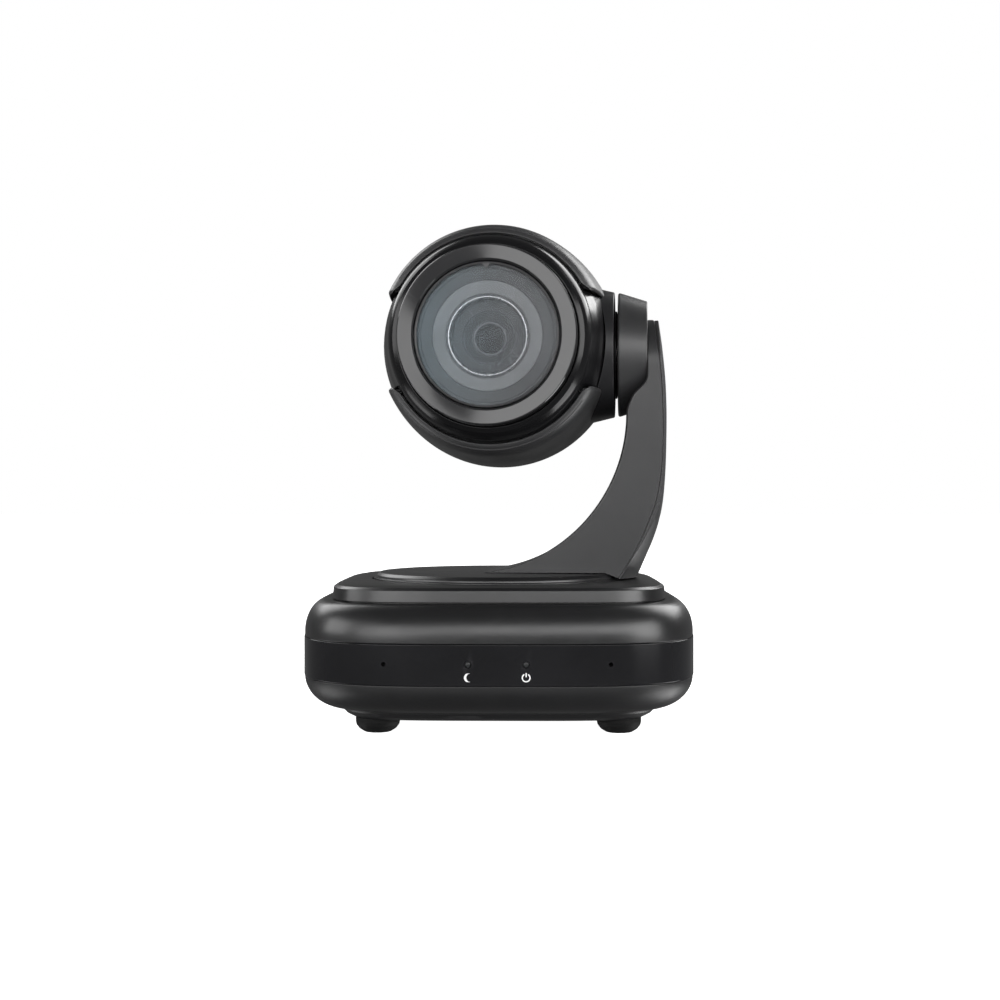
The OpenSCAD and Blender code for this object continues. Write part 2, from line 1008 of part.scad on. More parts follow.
module head_screws() {
    color([0.3, 0.3, 0.32])
    head_frame()
        lens_screw_places() {
            translate([0, 0, -0.4])
                cylinder(r = 1.9, h = 1.3);
            cylinder(r = 0.8, h = 4.2);
        }
}

module neck_collar() {
    color([0.1, 0.1, 0.105])
    head_frame()
        difference() {
            union() {
                translate([29, 0, 0])
                    rotate([0, 90, 0])
                        cylinder(r1 = 22, r2 = hub_radius, h = 8.2);
                tilt_rod(14, 37, 38, 0);
            }
            lens_turn()
                head_profile(0);
            tilt_rod(shaft_radius + 0.1, 20, 45, 0);
        }
}

module tilt_shaft() {
    color([0.65, 0.65, 0.68])
    head_frame()
        difference() {
            union() {
                tilt_rod(shaft_radius, 26.6, belt_start - 0.1, 0);
                tilt_rod(10.6, 26.6, 28.4, 0);
                tilt_rod(5.6, belt_start - 1, 50.4, 0);
            }
            tilt_rod(4.6, 20, 52, 0);
        }
}

module tilt_pulley() {
    color([0.75, 0.75, 0.77])
    head_frame()
        difference() {
            along_tilt(belt_start, belt_wide)
                pulley_plan(24, tilt_pulley_radius);
            tilt_rod(5.63, 40, 52, 0);
        }
}

module lens_ring() {
    color([0.08, 0.08, 0.085])
    head_frame()
        lens_turn()
            polygon([
                [21.1, 36.3], [26.8, 36.3], [lens_ring_radius, 40.3], [26.5, 40.9], [25.6, ring_front],
                [22.9, ring_front], [22, 41], [21.9, 38.4], [21.1, 38.4]
            ]);
}

module cover_glass() {
    color([0.6, 0.65, 0.7, 0.4])
    head_frame()
        lens_turn()
            polygon([[0, 38.5], [21.7, 38.5], [21.7, 39.8], [21.5, 40], [0, 40]]);
}

module retaining_ring() {
    color([0.3, 0.3, 0.31])
    head_frame()
        translate([0, 0, lens_rise])
            rotate([90, 0, 0])
                translate([0, 0, 40.02])
                    union() {
                        tube(21.6, 20.9, 0, 0.6);
                        linear_extrude(0.6)
                            polygon([[-1.6, 21.3], [1.6, 21.3], [0.5, 19.6], [-0.5, 19.6]]);
                    }
}

module lens_face_ring() {
    color([0.3, 0.3, 0.31])
    head_frame()
        lens_turn()
            polygon([
                [12.9, 35.4], [20.9, 35.4], [20.9, 38.3], [20, 38.3], [18, 36.6], [16.6, 36.4],
                [16.5, 37], [12.9, 36.8]
            ]);
}

function lens_profile(r, middle, half_mid, half_edge) =
    let (bulge = half_mid - half_edge)
    concat(
        [for (i = [0 : 8]) let (u = i / 8) [r * u, middle + half_edge + bulge * (1 - u * u)]],
        [for (i = [8 : -1 : 0]) let (u = i / 8) [r * u, middle - half_edge - bulge * (1 - u * u)]]
    );

module lens_disc(r, middle, half_mid, half_edge) {
    head_frame()
        lens_turn()
            polygon(lens_profile(r, middle, half_mid, half_edge));
}

module front_element() {
    color([0.4, 0.45, 0.55, 0.5])
    lens_disc(12.6, 34.6, 1.9, 0.7);
}

module lens_barrel() {
    color([0.12, 0.12, 0.13])
    head_frame()
        difference() {
            lens_turn()
                polygon([
                    [barrel_bore, -14], [15, -14], [15, 32], [22, 32], [22, 33.9], [15.9, 33.9],
                    [15.8, 35.3], [12.7, 35.3], [12.7, 36.4], [11.4, 36.4], [11.4, 35.9], [12.62, 35.4],
                    [12.62, 33.6], [11, 33.2], [11, 32.4], [barrel_bore, 32.4]
                ]);
            lens_screw_places()
                cylinder(r = 1.1, h = 5);
        }
}

// A point on the screws' circle, on one side of the barrel's bottom
module at_screw(side) {
    translate([side * screw_ring * cos(screw_angle), 0, lens_rise - screw_ring * sin(screw_angle)])
        rotate([90, 0, 0])
            children();
}

module at_rod(side) {
    translate([side * screw_ring, 0, lens_rise])
        rotate([90, 0, 0])
            children();
}

module guide_rods() {
    color([0.7, 0.7, 0.72])
    head_frame()
        for (side = [-1, 1])
            at_rod(side)
                translate([0, 0, -14])
                    cylinder(r = 0.75, h = 46);
}

module carriage(start, side) {
    head_frame()
        difference() {
            lens_turn()
                translate([8, start])
                    square([4.4, carriage_thick]);
            for (s = [-1, 1])
                at_rod(s)
                    translate([0, 0, start - 1])
                        cylinder(r = 0.8, h = carriage_thick + 2);
            at_screw(side)
                translate([0, 0, start - 1])
                    cylinder(r = 1, h = carriage_thick + 2);
        }
}

module zoom_carriage() {
    color([0.1, 0.1, 0.1])
    carriage(zoom_start, 1);
}

module focus_carriage() {
    color([0.1, 0.1, 0.1])
    carriage(focus_start, -1);
}

module zoom_lens() {
    color([0.5, 0.55, 0.6, 0.5])
    lens_disc(7.95, zoom_start + 2, 1.8, 0.8);
}

module focus_lens() {
    color([0.5, 0.55, 0.6, 0.5])
    lens_disc(7.95, focus_start + 2, 1.8, 0.8);
}

module small_motor(side, start) {
    head_frame()
        at_screw(side)
            translate([0, 0, start])
                difference() {
                    cylinder(r = 2.4, h = 5);
                    translate([0, 0, -1])
                        cylinder(r = 0.97, h = 7);
                }
}

module zoom_motor() {
    color([0.6, 0.6, 0.62])
    small_motor(1, 27);
}

module focus_motor() {
    color([0.6, 0.6, 0.62])
    small_motor(-1, -13.6);
}

module lead_screw(side, start, end) {
    head_frame()
        at_screw(side)
            translate([0, 0, start])
                cylinder(r = 0.9, h = end - start);
}

module zoom_screw() {
    color([0.75, 0.75, 0.77])
    lead_screw(1, 7, 31);
}

module focus_screw() {
    color([0.75, 0.75, 0.77])
    lead_screw(-1, -12.6, 5);
}

module sensor_board() {
    color([0.05, 0.3, 0.15])
    head_frame()
        translate([0, 0, lens_rise]) {
            block([-16, 14.1, -14], [16, 15.3, 14]);
            block([-5, 13, -4.5], [5, 14.1, 4.5]);
            block([-12, 15.3, -9], [-2, 16.5, 9]);
        }
}

base_upper_shell();
base_lower_shell();
front_band();
top_cover();
bottom_plate();
rubber_feet();
tripod_insert();
shell_screws();
short_screws();
main_board();
board_chips();
board_standoffs();
chassis_plate();
bearing_outer_race();
bearing_balls();
pan_motor();
rear_panel();
dc_jack();
usb_port();
control_port();
status_lenses();
microphones();
base_cable();
pan_pinion();
pan_shaft();
pan_gear();
bearing_inner_race();
turntable();
arm_frame();
arm_side_cover();
tilt_bush();
tilt_motor();
tilt_belt();
arm_screws();
arm_cable();
tilt_drive_pulley();
head_top_shell();
head_bottom_shell();
inner_body();
neck_collar();
tilt_shaft();
tilt_pulley();
lens_ring();
retaining_ring();
cover_glass();
lens_face_ring();
front_element();
lens_barrel();
guide_rods();
zoom_motor();
focus_motor();
sensor_board();
head_screws();
zoom_carriage();
zoom_lens();
focus_carriage();
focus_lens();
zoom_screw();
focus_screw();
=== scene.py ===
import json
import math

import bmesh
import bpy
from mathutils import Matrix, Vector


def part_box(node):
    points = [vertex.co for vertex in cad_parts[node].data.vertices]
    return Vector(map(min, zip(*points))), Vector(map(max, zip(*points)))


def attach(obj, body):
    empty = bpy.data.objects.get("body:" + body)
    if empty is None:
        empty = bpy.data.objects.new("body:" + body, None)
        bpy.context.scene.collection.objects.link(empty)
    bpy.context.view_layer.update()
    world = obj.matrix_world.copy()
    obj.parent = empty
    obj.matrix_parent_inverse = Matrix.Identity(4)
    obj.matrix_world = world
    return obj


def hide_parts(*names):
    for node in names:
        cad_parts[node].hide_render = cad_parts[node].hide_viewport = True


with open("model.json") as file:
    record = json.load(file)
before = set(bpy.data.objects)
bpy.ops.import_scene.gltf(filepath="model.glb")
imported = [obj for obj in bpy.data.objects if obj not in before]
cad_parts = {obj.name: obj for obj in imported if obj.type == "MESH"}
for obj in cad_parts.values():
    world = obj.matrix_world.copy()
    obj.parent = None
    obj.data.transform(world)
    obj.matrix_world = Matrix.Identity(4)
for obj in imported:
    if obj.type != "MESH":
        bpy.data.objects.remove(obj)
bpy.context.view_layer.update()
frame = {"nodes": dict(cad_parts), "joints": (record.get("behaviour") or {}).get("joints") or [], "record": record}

# Lengths below are in millimetres; a piece's points are scaled to metres as its mesh is made.
MM = 0.001
joints = {j["name"]: j for j in frame["joints"]}
scene = bpy.context.scene


def box_mm(node):
    """Lowest and highest corner of a CAD node, in millimetres."""
    low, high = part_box(node)
    return low / MM, high / MM


# ---- driving sizes, from the frame

band_low_corner, band_high_corner = box_mm("front_band")
base_half = band_high_corner.x
band_bottom = band_low_corner.z
band_top = band_high_corner.z
lower_bottom = box_mm("base_lower_shell")[0].z
upper_top = box_mm("base_upper_shell")[1].z
cover_top = box_mm("top_cover")[1].z
plate_bottom = box_mm("bottom_plate")[0].z
plate_top = box_mm("bottom_plate")[1].z
disc_bottom = box_mm("turntable")[0].z
disc_top = box_mm("turntable")[1].z
panel_low_corner, panel_high_corner = box_mm("rear_panel")
panel_half = panel_high_corner.x
panel_face = panel_high_corner.y
tilt_axis = joints["tilt"]["axis"]
tilt_height = joints["tilt"]["pos_m"][2] / MM
pan_rest = math.atan2(-tilt_axis[1], -tilt_axis[0])
arm_top = box_mm("arm_side_cover")[1].z

pan_place = Matrix.Rotation(pan_rest, 4, "Z")
head_place = pan_place @ Matrix.Translation((0, 0, tilt_height))
lens_rise = 2.4
lens_place = head_place @ Matrix.Translation((0, 0, lens_rise))

# Shared sizes that the frame's boxes don't give
PLAN_POWER = 4
DEEPEST_INSET = 17
ROUND_STEPS = 256
disc_radius = 40
status_place = 8.2
mic_place = 32.2
status_height = 22.5
port_height = 19.6
dc_place = -26
usb_place = -3
control_place = 22
socket_floor = 14.1
foot_place = 36
post_place = 38.5
plate_screw_place = 38
shaft_radius = 8
notch_half = 14.8


# ---- outlines

def unit(v):
    """The direction of v, at length 1."""
    return v / v.length if v.length else v


def rounded(points, radius, steps=4, closed=True):
    """The outline with its corners turned into small arcs. A point's third number is its own radius."""
    count = len(points)
    result = []
    for i, point in enumerate(points):
        here = Vector(point[:2])
        size = point[2] if len(point) > 2 else radius
        if size <= 0 or (not closed and i in (0, count - 1)):
            result.append(here)
            continue
        back = Vector(points[i - 1][:2]) - here
        ahead = Vector(points[(i + 1) % count][:2]) - here
        half = back.angle(ahead) / 2
        if half > math.radians(85):
            result.append(here)
            continue
        reach = min(size / math.tan(half), 0.48 * back.length, 0.48 * ahead.length)
        size = reach * math.tan(half)
        u, v = unit(back), unit(ahead)
        centre = here + unit(u + v) * (size / math.sin(half))
        a, b = here + u * reach - centre, here + v * reach - centre
        turn = math.pi - 2 * half
        for k in range(steps + 1):
            t = k / steps
            result.append(centre + (a * math.sin((1 - t) * turn) + b * math.sin(t * turn)) / math.sin(turn))
    return result


def arc(cx, cy, rx, ry, start, end, steps):
    """Points on an ellipse's arc, from start to end in degrees."""
    return [
        Vector((cx + rx * math.cos(math.radians(a)), cy + ry * math.sin(math.radians(a))))
        for a in (start + (end - start) * k / steps for k in range(steps + 1))
    ]


def spline(points, steps):
    """A smooth curve through points (Catmull-Rom)."""
    points = [Vector(p) for p in points]
    ends = [2 * points[0] - points[1]] + points + [2 * points[-1] - points[-2]]
    result = []
    for i in range(1, len(ends) - 2):
        p0, p1, p2, p3 = ends[i - 1:i + 3]
        for k in range(steps):
            t = k / steps
            result.append(0.5 * (
                2 * p1 + (p2 - p0) * t + (2 * p0 - 5 * p1 + 4 * p2 - p3) * t * t
                + (3 * p1 - p0 - 3 * p2 + p3) * t * t * t
            ))
    return result + [points[-1]]


def value_at(table, x):
    """The second number of table at first number x, on straight lines between rows."""
    if x <= table[0][0]:
        return table[0][1]
    for (x0, y0), (x1, y1) in zip(table, table[1:]):
        if x <= x1:
            return y0 + (y1 - y0) * (x - x0) / (x1 - x0)
    return table[-1][1]


def plan_point(a, half):
    """A point on the base's plan, drawn in by the same distance all round until it's half wide."""
    reach = abs(math.cos(a)) ** PLAN_POWER + abs(math.sin(a)) ** PLAN_POWER
    radius = base_half * reach ** (-1 / PLAN_POWER)
    edge = Vector((radius * math.cos(a), radius * math.sin(a)))
    outward = Vector([math.copysign(abs(v) ** (PLAN_POWER - 1), v) for v in edge]).normalized()
    inset = min(base_half - half, DEEPEST_INSET)
    return (edge - outward * inset) * (half / (base_half - inset))


# ---- meshes

def skin(rings, wrap=False, caps=False):
    """Points and faces between neighbouring rings of points. A ring of one point is a pole."""
    points, starts, faces = [], [], []
    for ring in rings:
        starts.append(len(points))
        points.extend(ring)
    pairs = list(zip(range(len(rings)), range(1, len(rings))))
    if wrap:
        pairs.append((len(rings) - 1, 0))
    for a, b in pairs:
        na, nb = len(rings[a]), len(rings[b])
        count = max(na, nb)
        for i in range(count):
            j = (i + 1) % count
            if na == 1:
                faces.append((starts[a], starts[b] + i, starts[b] + j))
            elif nb == 1:
                faces.append((starts[a] + i, starts[b], starts[a] + j))
            else:
                faces.append((starts[a] + i, starts[b] + i, starts[b] + j, starts[a] + j))
    if caps:
        faces.append(tuple(range(len(rings[0]))))
        faces.append(tuple(starts[-1] + i for i in range(len(rings[-1]))))
    return points, faces


def revolve(profile, wrap=True, steps=ROUND_STEPS, axis="lens"):
    """A profile turned round an axis. For the lens it's [radius, distance forward], for the tilt axis
    [radius, distance to the right], and for the pan axis [radius, height]."""
    rings = []
    for r, h in profile:
        around = [0.0] if r < 1e-6 else [2 * math.pi * i / steps for i in range(steps)]
        if axis == "lens":
            rings.append([Vector((r * math.cos(a), -h, r * math.sin(a))) for a in around])
        elif axis == "tilt":
            rings.append([Vector((h, r * math.cos(a), r * math.sin(a))) for a in around])
        else:
            rings.append([Vector((r * math.cos(a), r * math.sin(a), h)) for a in around])
    return skin(rings, wrap)


def loft(profile, steps=ROUND_STEPS):
    """A closed profile of [size, height, roundness] carried round the base's plan.
    Roundness 0 follows the rounded square and 1 a circle of that size."""
    rings = []
    for size, height, *more in profile:
        share = more[0] if more else 0
        ring = []
        for i in range(steps):
            a = 2 * math.pi * (i + 0.5) / steps
            square = plan_point(a, size)
            circle = Vector((size * math.cos(a), size * math.sin(a)))
            ring.append(Vector((*square.lerp(circle, share), height)))
        rings.append(ring)
    return skin(rings, wrap=True)


def prism(outline, start, length, axis="y"):
    """An outline extruded. Along y it's given as [x, z]; along z as [x, y]; along x as [y, z]."""
    rings = []
    for h in (start, start + length):
        if axis == "y":
            rings.append([Vector((p[0], h, p[1])) for p in outline])
        elif axis == "z":
            rings.append([Vector((p[0], p[1], h)) for p in outline])
        else:
            rings.append([Vector((h, p[0], p[1])) for p in outline])
    return skin(rings, caps=True)


def rectangle(x0, y0, x1, y1):
    """The corners of a rectangle, anticlockwise."""
    return [(x0, y0), (x1, y0), (x1, y1), (x0, y1)]


def rectangle_about(x, y, half_width, half_height):
    """The corners of a rectangle with its middle at x, y."""
    return rectangle(x - half_width, y - half_height, x + half_width, y + half_height)


def circle(x, y, radius, sides):
    """A round outline about x, y."""
    return arc(x, y, radius, radius, 0, 360 - 360 / sides, sides - 1)


def four_corners(distance):
    """The four places that far out from the middle in x and in y."""
    return [(x * distance, y * distance) for x in (-1, 1) for y in (-1, 1)]


def make(name, geometry, place=Matrix(), smooth=38):
    """A mesh object from millimetre points and faces, smooth except at edges sharper than smooth degrees."""
    points, faces = geometry
    mesh = bpy.data.meshes.new(name)
    mesh.from_pydata([(place @ p) * MM for p in points], [], faces)
    return finish_mesh(name, mesh, smooth)


def finish_mesh(name, mesh, smooth=38):
    """Cleans a new mesh and puts it in the scene as an object."""
    bm = bmesh.new()
    bm.from_mesh(mesh)
    bmesh.ops.remove_doubles(bm, verts=bm.verts, dist=1e-7)
    bmesh.ops.recalc_face_normals(bm, faces=bm.faces)
    bm.to_mesh(mesh)
    bm.free()
    mesh.shade_smooth()
    mesh.set_sharp_from_angle(angle=math.radians(smooth))
    piece = bpy.data.objects.new(name, mesh)
    scene.collection.objects.link(piece)
    return piece


def joined(*geometries):
    """Several meshes' points and faces as one."""
    points, faces = [], []
    for p, f in geometries:
        first = len(points)
        points.extend(p)
        faces.extend(tuple(first + i for i in face) for face in f)
    return points, faces


def apply_modifiers(piece, smooth=38):
    """Makes what the modifiers do part of the mesh."""
    mesh = bpy.data.meshes.new_from_object(piece.evaluated_get(bpy.context.evaluated_depsgraph_get()))
    piece.modifiers.clear()
    piece.data = mesh
    mesh.shade_smooth()
    mesh.set_sharp_from_angle(angle=math.radians(smooth))
    return piece


def cut(piece, geometry, place=Matrix(), operation="DIFFERENCE"):
    """Takes a shape out of the piece, or adds it to it."""
    tool = make("tool", geometry, place)
    modifier = piece.modifiers.new("cut", "BOOLEAN")
    modifier.operation = operation
    modifier.solver = "EXACT"
    modifier.object = tool
    apply_modifiers(piece)
    bpy.data.objects.remove(tool)
    return piece


def bevel(piece, width, segments=3, limit=35):
    """Rounds the piece's sharp edges."""
    modifier = piece.modifiers.new("edges", "BEVEL")
    modifier.width = width * MM
    modifier.segments = segments
    modifier.limit_method = "ANGLE"
    modifier.angle_limit = math.radians(limit)
    modifier.harden_normals = False
    return apply_modifiers(piece)


def thicken(piece, thickness):
    """Gives a surface a wall, inwards."""
    modifier = piece.modifiers.new("wall", "SOLIDIFY")
    modifier.thickness = thickness * MM
    modifier.offset = -1
    modifier.use_even_offset = True
    return apply_modifiers(piece)


def add(piece, body, slot, *nodes, material=None):
    """Puts a finished piece on its body, with its look, and hides the CAD nodes that it stands for."""
    piece.data.materials.clear()
    piece.data.materials.append(material or looks[slot])
    modifier = piece.modifiers.new("normals", "WEIGHTED_NORMAL")
    modifier.keep_sharp = True
    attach(piece, body)
    if nodes:
        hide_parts(*nodes)
    return piece


# ---- materials

def new_material(name):
    """A new material, its node tree and its main shader."""
    material = bpy.data.materials.new(name)
    material.use_nodes = True
    tree = material.node_tree
    shader = next(n for n in tree.nodes if n.type == "BSDF_PRINCIPLED")
    return material, tree, shader


def feed(tree, node, inputs):
    """Gives each named socket of a node its value, or joins another node's output to it."""
    for socket, value in inputs.items():
        if isinstance(value, bpy.types.NodeSocket):
            tree.links.new(value, node.inputs[socket])
        else:
            node.inputs[socket].default_value = value


def add_node(tree, kind, inputs=None):
    """A new shader node of a kind, with its sockets fed."""
    node = tree.nodes.new("ShaderNode" + kind)
    feed(tree, node, inputs or {})
    return node


def noise(tree, scale, detail=2.0, stretch=None):
    """Noise in the object's own coordinates; scale is cells a metre."""
    where = add_node(tree, "TexCoord").outputs["Object"]
    if stretch:
        where = add_node(tree, "Mapping", {"Scale": stretch, "Vector": where}).outputs["Vector"]
    return add_node(tree, "TexNoise", {"Scale": scale, "Detail": detail, "Vector": where}).outputs["Fac"]


def spread(tree, value, low, high, start=0.3, end=0.7):
    """Maps noise onto a range."""
    node = add_node(tree, "MapRange", {
        "From Min": start, "From Max": end, "To Min": low, "To Max": high, "Value": value
    })
    return node.outputs["Result"]


def blend_colour(tree, factor, a, b):
    """Colour a turning into colour b as the factor goes from 0 to 1."""
    node = add_node(tree, "Mix")
    node.data_type = "RGBA"
    a, b = ((*c, 1) if isinstance(c, tuple) else c for c in (a, b))
    feed(tree, node, {6: a, 7: b, 0: factor})
    return node.outputs[2]


def bumped(tree, shader, height, distance):
    """A relief on the surface, up to distance millimetres deep."""
    node = add_node(tree, "Bump", {"Distance": distance * MM, "Strength": 1.0, "Height": height})
    feed(tree, shader, {"Normal": node.outputs["Normal"]})


def edge_mask(tree):
    """Where the surface is a worn outer edge, broken up by noise."""
    edges = spread(tree, add_node(tree, "NewGeometry").outputs["Pointiness"], 0, 1, 0.52, 0.62)
    patchy = spread(tree, noise(tree, 260, 3), 0.15, 0.9, 0.35, 0.65)
    node = add_node(tree, "Math", {0: edges, 1: patchy})
    node.operation = "MULTIPLY"
    return node.outputs[0]


def plastic(name, colour, rough, grain=0.22, depth=0.012, specular=0.5, coat=0.0, coat_rough=0.1, wear=2.2):
    """Moulded plastic: a fine grain, slight patches in shade and gloss, and lighter edges."""
    material, tree, shader = new_material(name)
    patches = spread(tree, noise(tree, 45, 3), 0, 1)
    dark = tuple(c * 0.86 for c in colour)
    light = tuple(c * 1.14 for c in colour)
    worn = tuple(min(1, c * wear + 0.004) for c in colour)
    mottled = blend_colour(tree, patches, dark, light)
    feed(tree, shader, {
        "Base Color": blend_colour(tree, edge_mask(tree), mottled, worn),
        "Roughness": spread(tree, noise(tree, 120, 4), rough * 0.9, rough * 1.12),
        "Specular IOR Level": specular,
        "Coat Weight": coat,
        "Coat Roughness": coat_rough,
    })
    bumped(tree, shader, noise(tree, 1 / (grain * MM), 1.5), depth)
    return material


def metal(name, colour, rough, stretch=(1, 1, 1)):
    """Machined metal with fine tool marks and dulled patches."""
    material, tree, shader = new_material(name)
    patches = spread(tree, noise(tree, 160, 3), 0, 1)
    shade = blend_colour(tree, patches, tuple(c * 0.82 for c in colour), colour)
    bright = tuple(min(1, c * 1.25) for c in colour)
    marks = noise(tree, 900, 2, stretch)
    feed(tree, shader, {
        "Base Color": blend_colour(tree, edge_mask(tree), shade, bright),
        "Metallic": 1.0,
        "Roughness": spread(tree, marks, rough * 0.75, rough * 1.3),
    })
    bumped(tree, shader, marks, 0.004)
    return material


def board(name):
    """Green solder mask with copper tracks just showing under it."""
    material, tree, shader = new_material(name)
    where = add_node(tree, "TexCoord").outputs["Object"]
    tracks = add_node(tree, "TexVoronoi")
    tracks.feature = "DISTANCE_TO_EDGE"
    tracks.distance = "MANHATTAN"
    feed(tree, tracks, {"Scale": 260, "Vector": where})
    line = spread(tree, tracks.outputs["Distance"], 1, 0, 0.03, 0.06)
    green = blend_colour(tree, spread(tree, noise(tree, 60), 0, 1), (0.008, 0.07, 0.03), (0.01, 0.1, 0.045))
    feed(tree, shader, {
        "Base Color": blend_colour(tree, line, green, (0.03, 0.17, 0.07)),
        "Roughness": spread(tree, noise(tree, 300), 0.25, 0.4),
    })
    bumped(tree, shader, line, 0.03)
    return material


def clear_glass(name, tint, haze, reflect):
    """Coated clear glass: what is behind shows through unbent, with a faint haze and the coating's mirror, whose
    tint is a painted reflection colour, bluer on the left side.
    """
    material, tree, shader = new_material(name)
    patches = spread(tree, noise(tree, 35), 0, 1)
    place = add_node(tree, "TexCoord").outputs["Generated"]
    # Painted reflection: the reflection tint runs from blue on the left side to near neutral on the right.
    painted_reflection_side = spread(tree, add_node(tree, "SeparateXYZ", {0: place}).outputs["X"], 0, 1, 0.1, 0.7)
    feed(tree, shader, {
        "Base Color": blend_colour(tree, patches, tint, tuple(c * 1.1 for c in tint)),
        "Roughness": spread(tree, noise(tree, 200), 0.15, 0.2),
        "Specular IOR Level": reflect,
        "Specular Tint": blend_colour(tree, painted_reflection_side, (0.66, 0.88, 1.0), (0.96, 0.98, 1.0)),
    })
    clear = add_node(tree, "BsdfTransparent", {"Color": (0.96, 0.97, 0.98, 1)})
    fresnel = add_node(tree, "LayerWeight", {"Blend": 0.35}).outputs["Fresnel"]
    share = spread(tree, fresnel, haze, 1, 0, 1)
    mix = add_node(tree, "MixShader", {0: share, 1: clear.outputs[0], 2: shader.outputs[0]})
    output = next(n for n in tree.nodes if n.type == "OUTPUT_MATERIAL")
    feed(tree, output, {"Surface": mix.outputs[0]})
    return material


looks = {
    "shell_matte": plastic("upper shell plastic", (0.008, 0.008, 0.0085), 0.32, specular=0.56),
    "shell_lower": plastic("lower shell plastic", (0.008, 0.008, 0.0085), 0.42, specular=0.42),
    "band_gloss": plastic("front band plastic", (0.011, 0.011, 0.012), 0.14, depth=0.001, wear=1.6,
                          specular=0.22),
    "foot_rubber": plastic("foot rubber", (0.006, 0.006, 0.006), 0.6, specular=0.12, grain=0.35, depth=0.03),
    "panel_matte": plastic("rear panel plastic", (0.014, 0.014, 0.015), 0.55, grain=0.3, depth=0.02),
    "port_black": plastic("port plastic", (0.01, 0.01, 0.01), 0.35, depth=0.004),
    "chip_black": plastic("chip resin", (0.008, 0.008, 0.009), 0.6, grain=0.15, specular=0.2),
    "cable_black": plastic("cable sheath", (0.02, 0.02, 0.021), 0.45, depth=0.006),
    "belt_rubber": plastic("belt rubber", (0.012, 0.012, 0.012), 0.65, depth=0.02),
    "arm_matte": plastic("arm plastic", (0.02, 0.02, 0.021), 0.4),
    "head_matte": plastic("head shell plastic", (0.02, 0.02, 0.021), 0.42, specular=0.68),
    "body_gloss": plastic("inner body plastic", (0.006, 0.006, 0.0065), 0.2, depth=0.0006, wear=1.5,
                          specular=0.22),
    "neck_satin": plastic("neck plastic", (0.012, 0.012, 0.013), 0.36, depth=0.006, specular=0.26),
    "ring_gloss": plastic("lens ring lacquer", (0.022, 0.022, 0.023), 0.06, depth=0.0004, coat=0.08,
                          coat_rough=0.06, specular=0.4, wear=1.6),
    "light_pipe": plastic("status lens resin", (0.014, 0.015, 0.016), 0.3, depth=0.001, specular=0.4),
    "gear_nylon": plastic("gear nylon", (0.72, 0.7, 0.62), 0.45, depth=0.006, wear=1.1),
    "lens_satin": plastic("lens barrel paint", (0.03, 0.03, 0.032), 0.5, depth=0.006),
    "brass": metal("brass", (0.72, 0.5, 0.22), 0.3),
    "screw_steel": metal("blackened screw steel", (0.18, 0.18, 0.19), 0.35),
    "plate_aluminium": metal("sheet aluminium", (0.6, 0.6, 0.62), 0.38, (1, 12, 1)),
    "bearing_steel": metal("bearing steel", (0.55, 0.55, 0.57), 0.16),
    "motor_steel": metal("motor can", (0.4, 0.4, 0.42), 0.3, (1, 1, 14)),
    "port_steel": metal("port shield", (0.62, 0.62, 0.63), 0.28, (1, 10, 1)),
    "circuit_board": board("circuit board"),
    "cover_glass": clear_glass("cover glass", (0.1, 0.103, 0.107), 0.14, 0.85),
    "lens_glass": clear_glass("lens element glass", (0.03, 0.035, 0.045), 0.05, 0.5),
}
inks = {
    "icon": plastic("icon ink", (0.75, 0.75, 0.75), 0.6, depth=0.002, wear=1.0),
    "face_ring": plastic("lens face paint", (0.1, 0.102, 0.106), 0.5, depth=0.004, wear=1.05),
    "light_ring": plastic("lens bezel paint", (0.4, 0.405, 0.41), 0.65, depth=0.004, wear=1.03),
    "dark_ring": plastic("lens thread paint", (0.13, 0.13, 0.135), 0.45, depth=0.004),
}

# Every CAD node takes the look of its own slot in the record; most of those that show are then replaced
for subpart in frame["record"]["subparts"]:
    node = frame["nodes"][subpart["node"]]
    node.data.materials.clear()
    node.data.materials.append(looks[subpart["material_slot"]])


# ---- base

shell_edge = base_half - 0.2
wall = 2.2
panel_gap = 0.15
upper_straight = band_top + 1.2
upper_round = 6.5
lower_round = 9.8
upper_rise = upper_top - upper_straight
upper_centre = shell_edge - upper_round
inner_rise = upper_rise - wall
upper_outer = [(shell_edge, band_top)] + arc(upper_centre, upper_straight, upper_round, upper_rise, 0, 90, 18)
upper_inner = arc(upper_centre - wall, upper_straight, upper_round, inner_rise, 90, 0, 12)
upper_profile = rounded(
    [(*upper_outer[0], 0.3)] + [(*p, 0) for p in upper_outer[1:]]
    + [(46, upper_top, 0.3), (46, upper_top - wall, 0.2)] + [(*p, 0) for p in upper_inner]
    + [(shell_edge - wall, band_top, 0.2)], 0
)
upper = make("upper_shell", loft(upper_profile))
for x, y in four_corners(post_place):
    cut(upper, prism(circle(x, y, 4, 24), 22, 15.2, "z"), operation="UNION")
add(upper, "base", "shell_matte", "base_upper_shell")

lower_depth = band_bottom - lower_bottom
lower_outer = arc(shell_edge - lower_round, band_bottom, lower_round, -lower_depth, 0, 90, 20)
lower_inner = arc(shell_edge - lower_round - wall, band_bottom, lower_round, -(lower_depth - wall), 90, 0, 12)
lower_profile = rounded(
    [(*lower_outer[0], 0.3)] + [(*p, 0) for p in lower_outer[1:]]
    + [(32.5, lower_bottom, 0.3), (32.5, lower_bottom + wall, 0.2)]
    + [(*p, 0) for p in lower_inner[:-1]] + [(*lower_inner[-1], 0.2)], 0
)
window_half = panel_half + panel_gap
window_low = panel_low_corner.z - panel_gap
window_outline = rectangle(-window_half, window_low, window_half, panel_high_corner.z + panel_gap)
window = prism(rounded(window_outline, 1.6, 6), panel_face - 4, 12)
lower = make("lower_shell", loft(lower_profile))
cut(lower, window)
add(lower, "base", "shell_lower", "base_lower_shell")

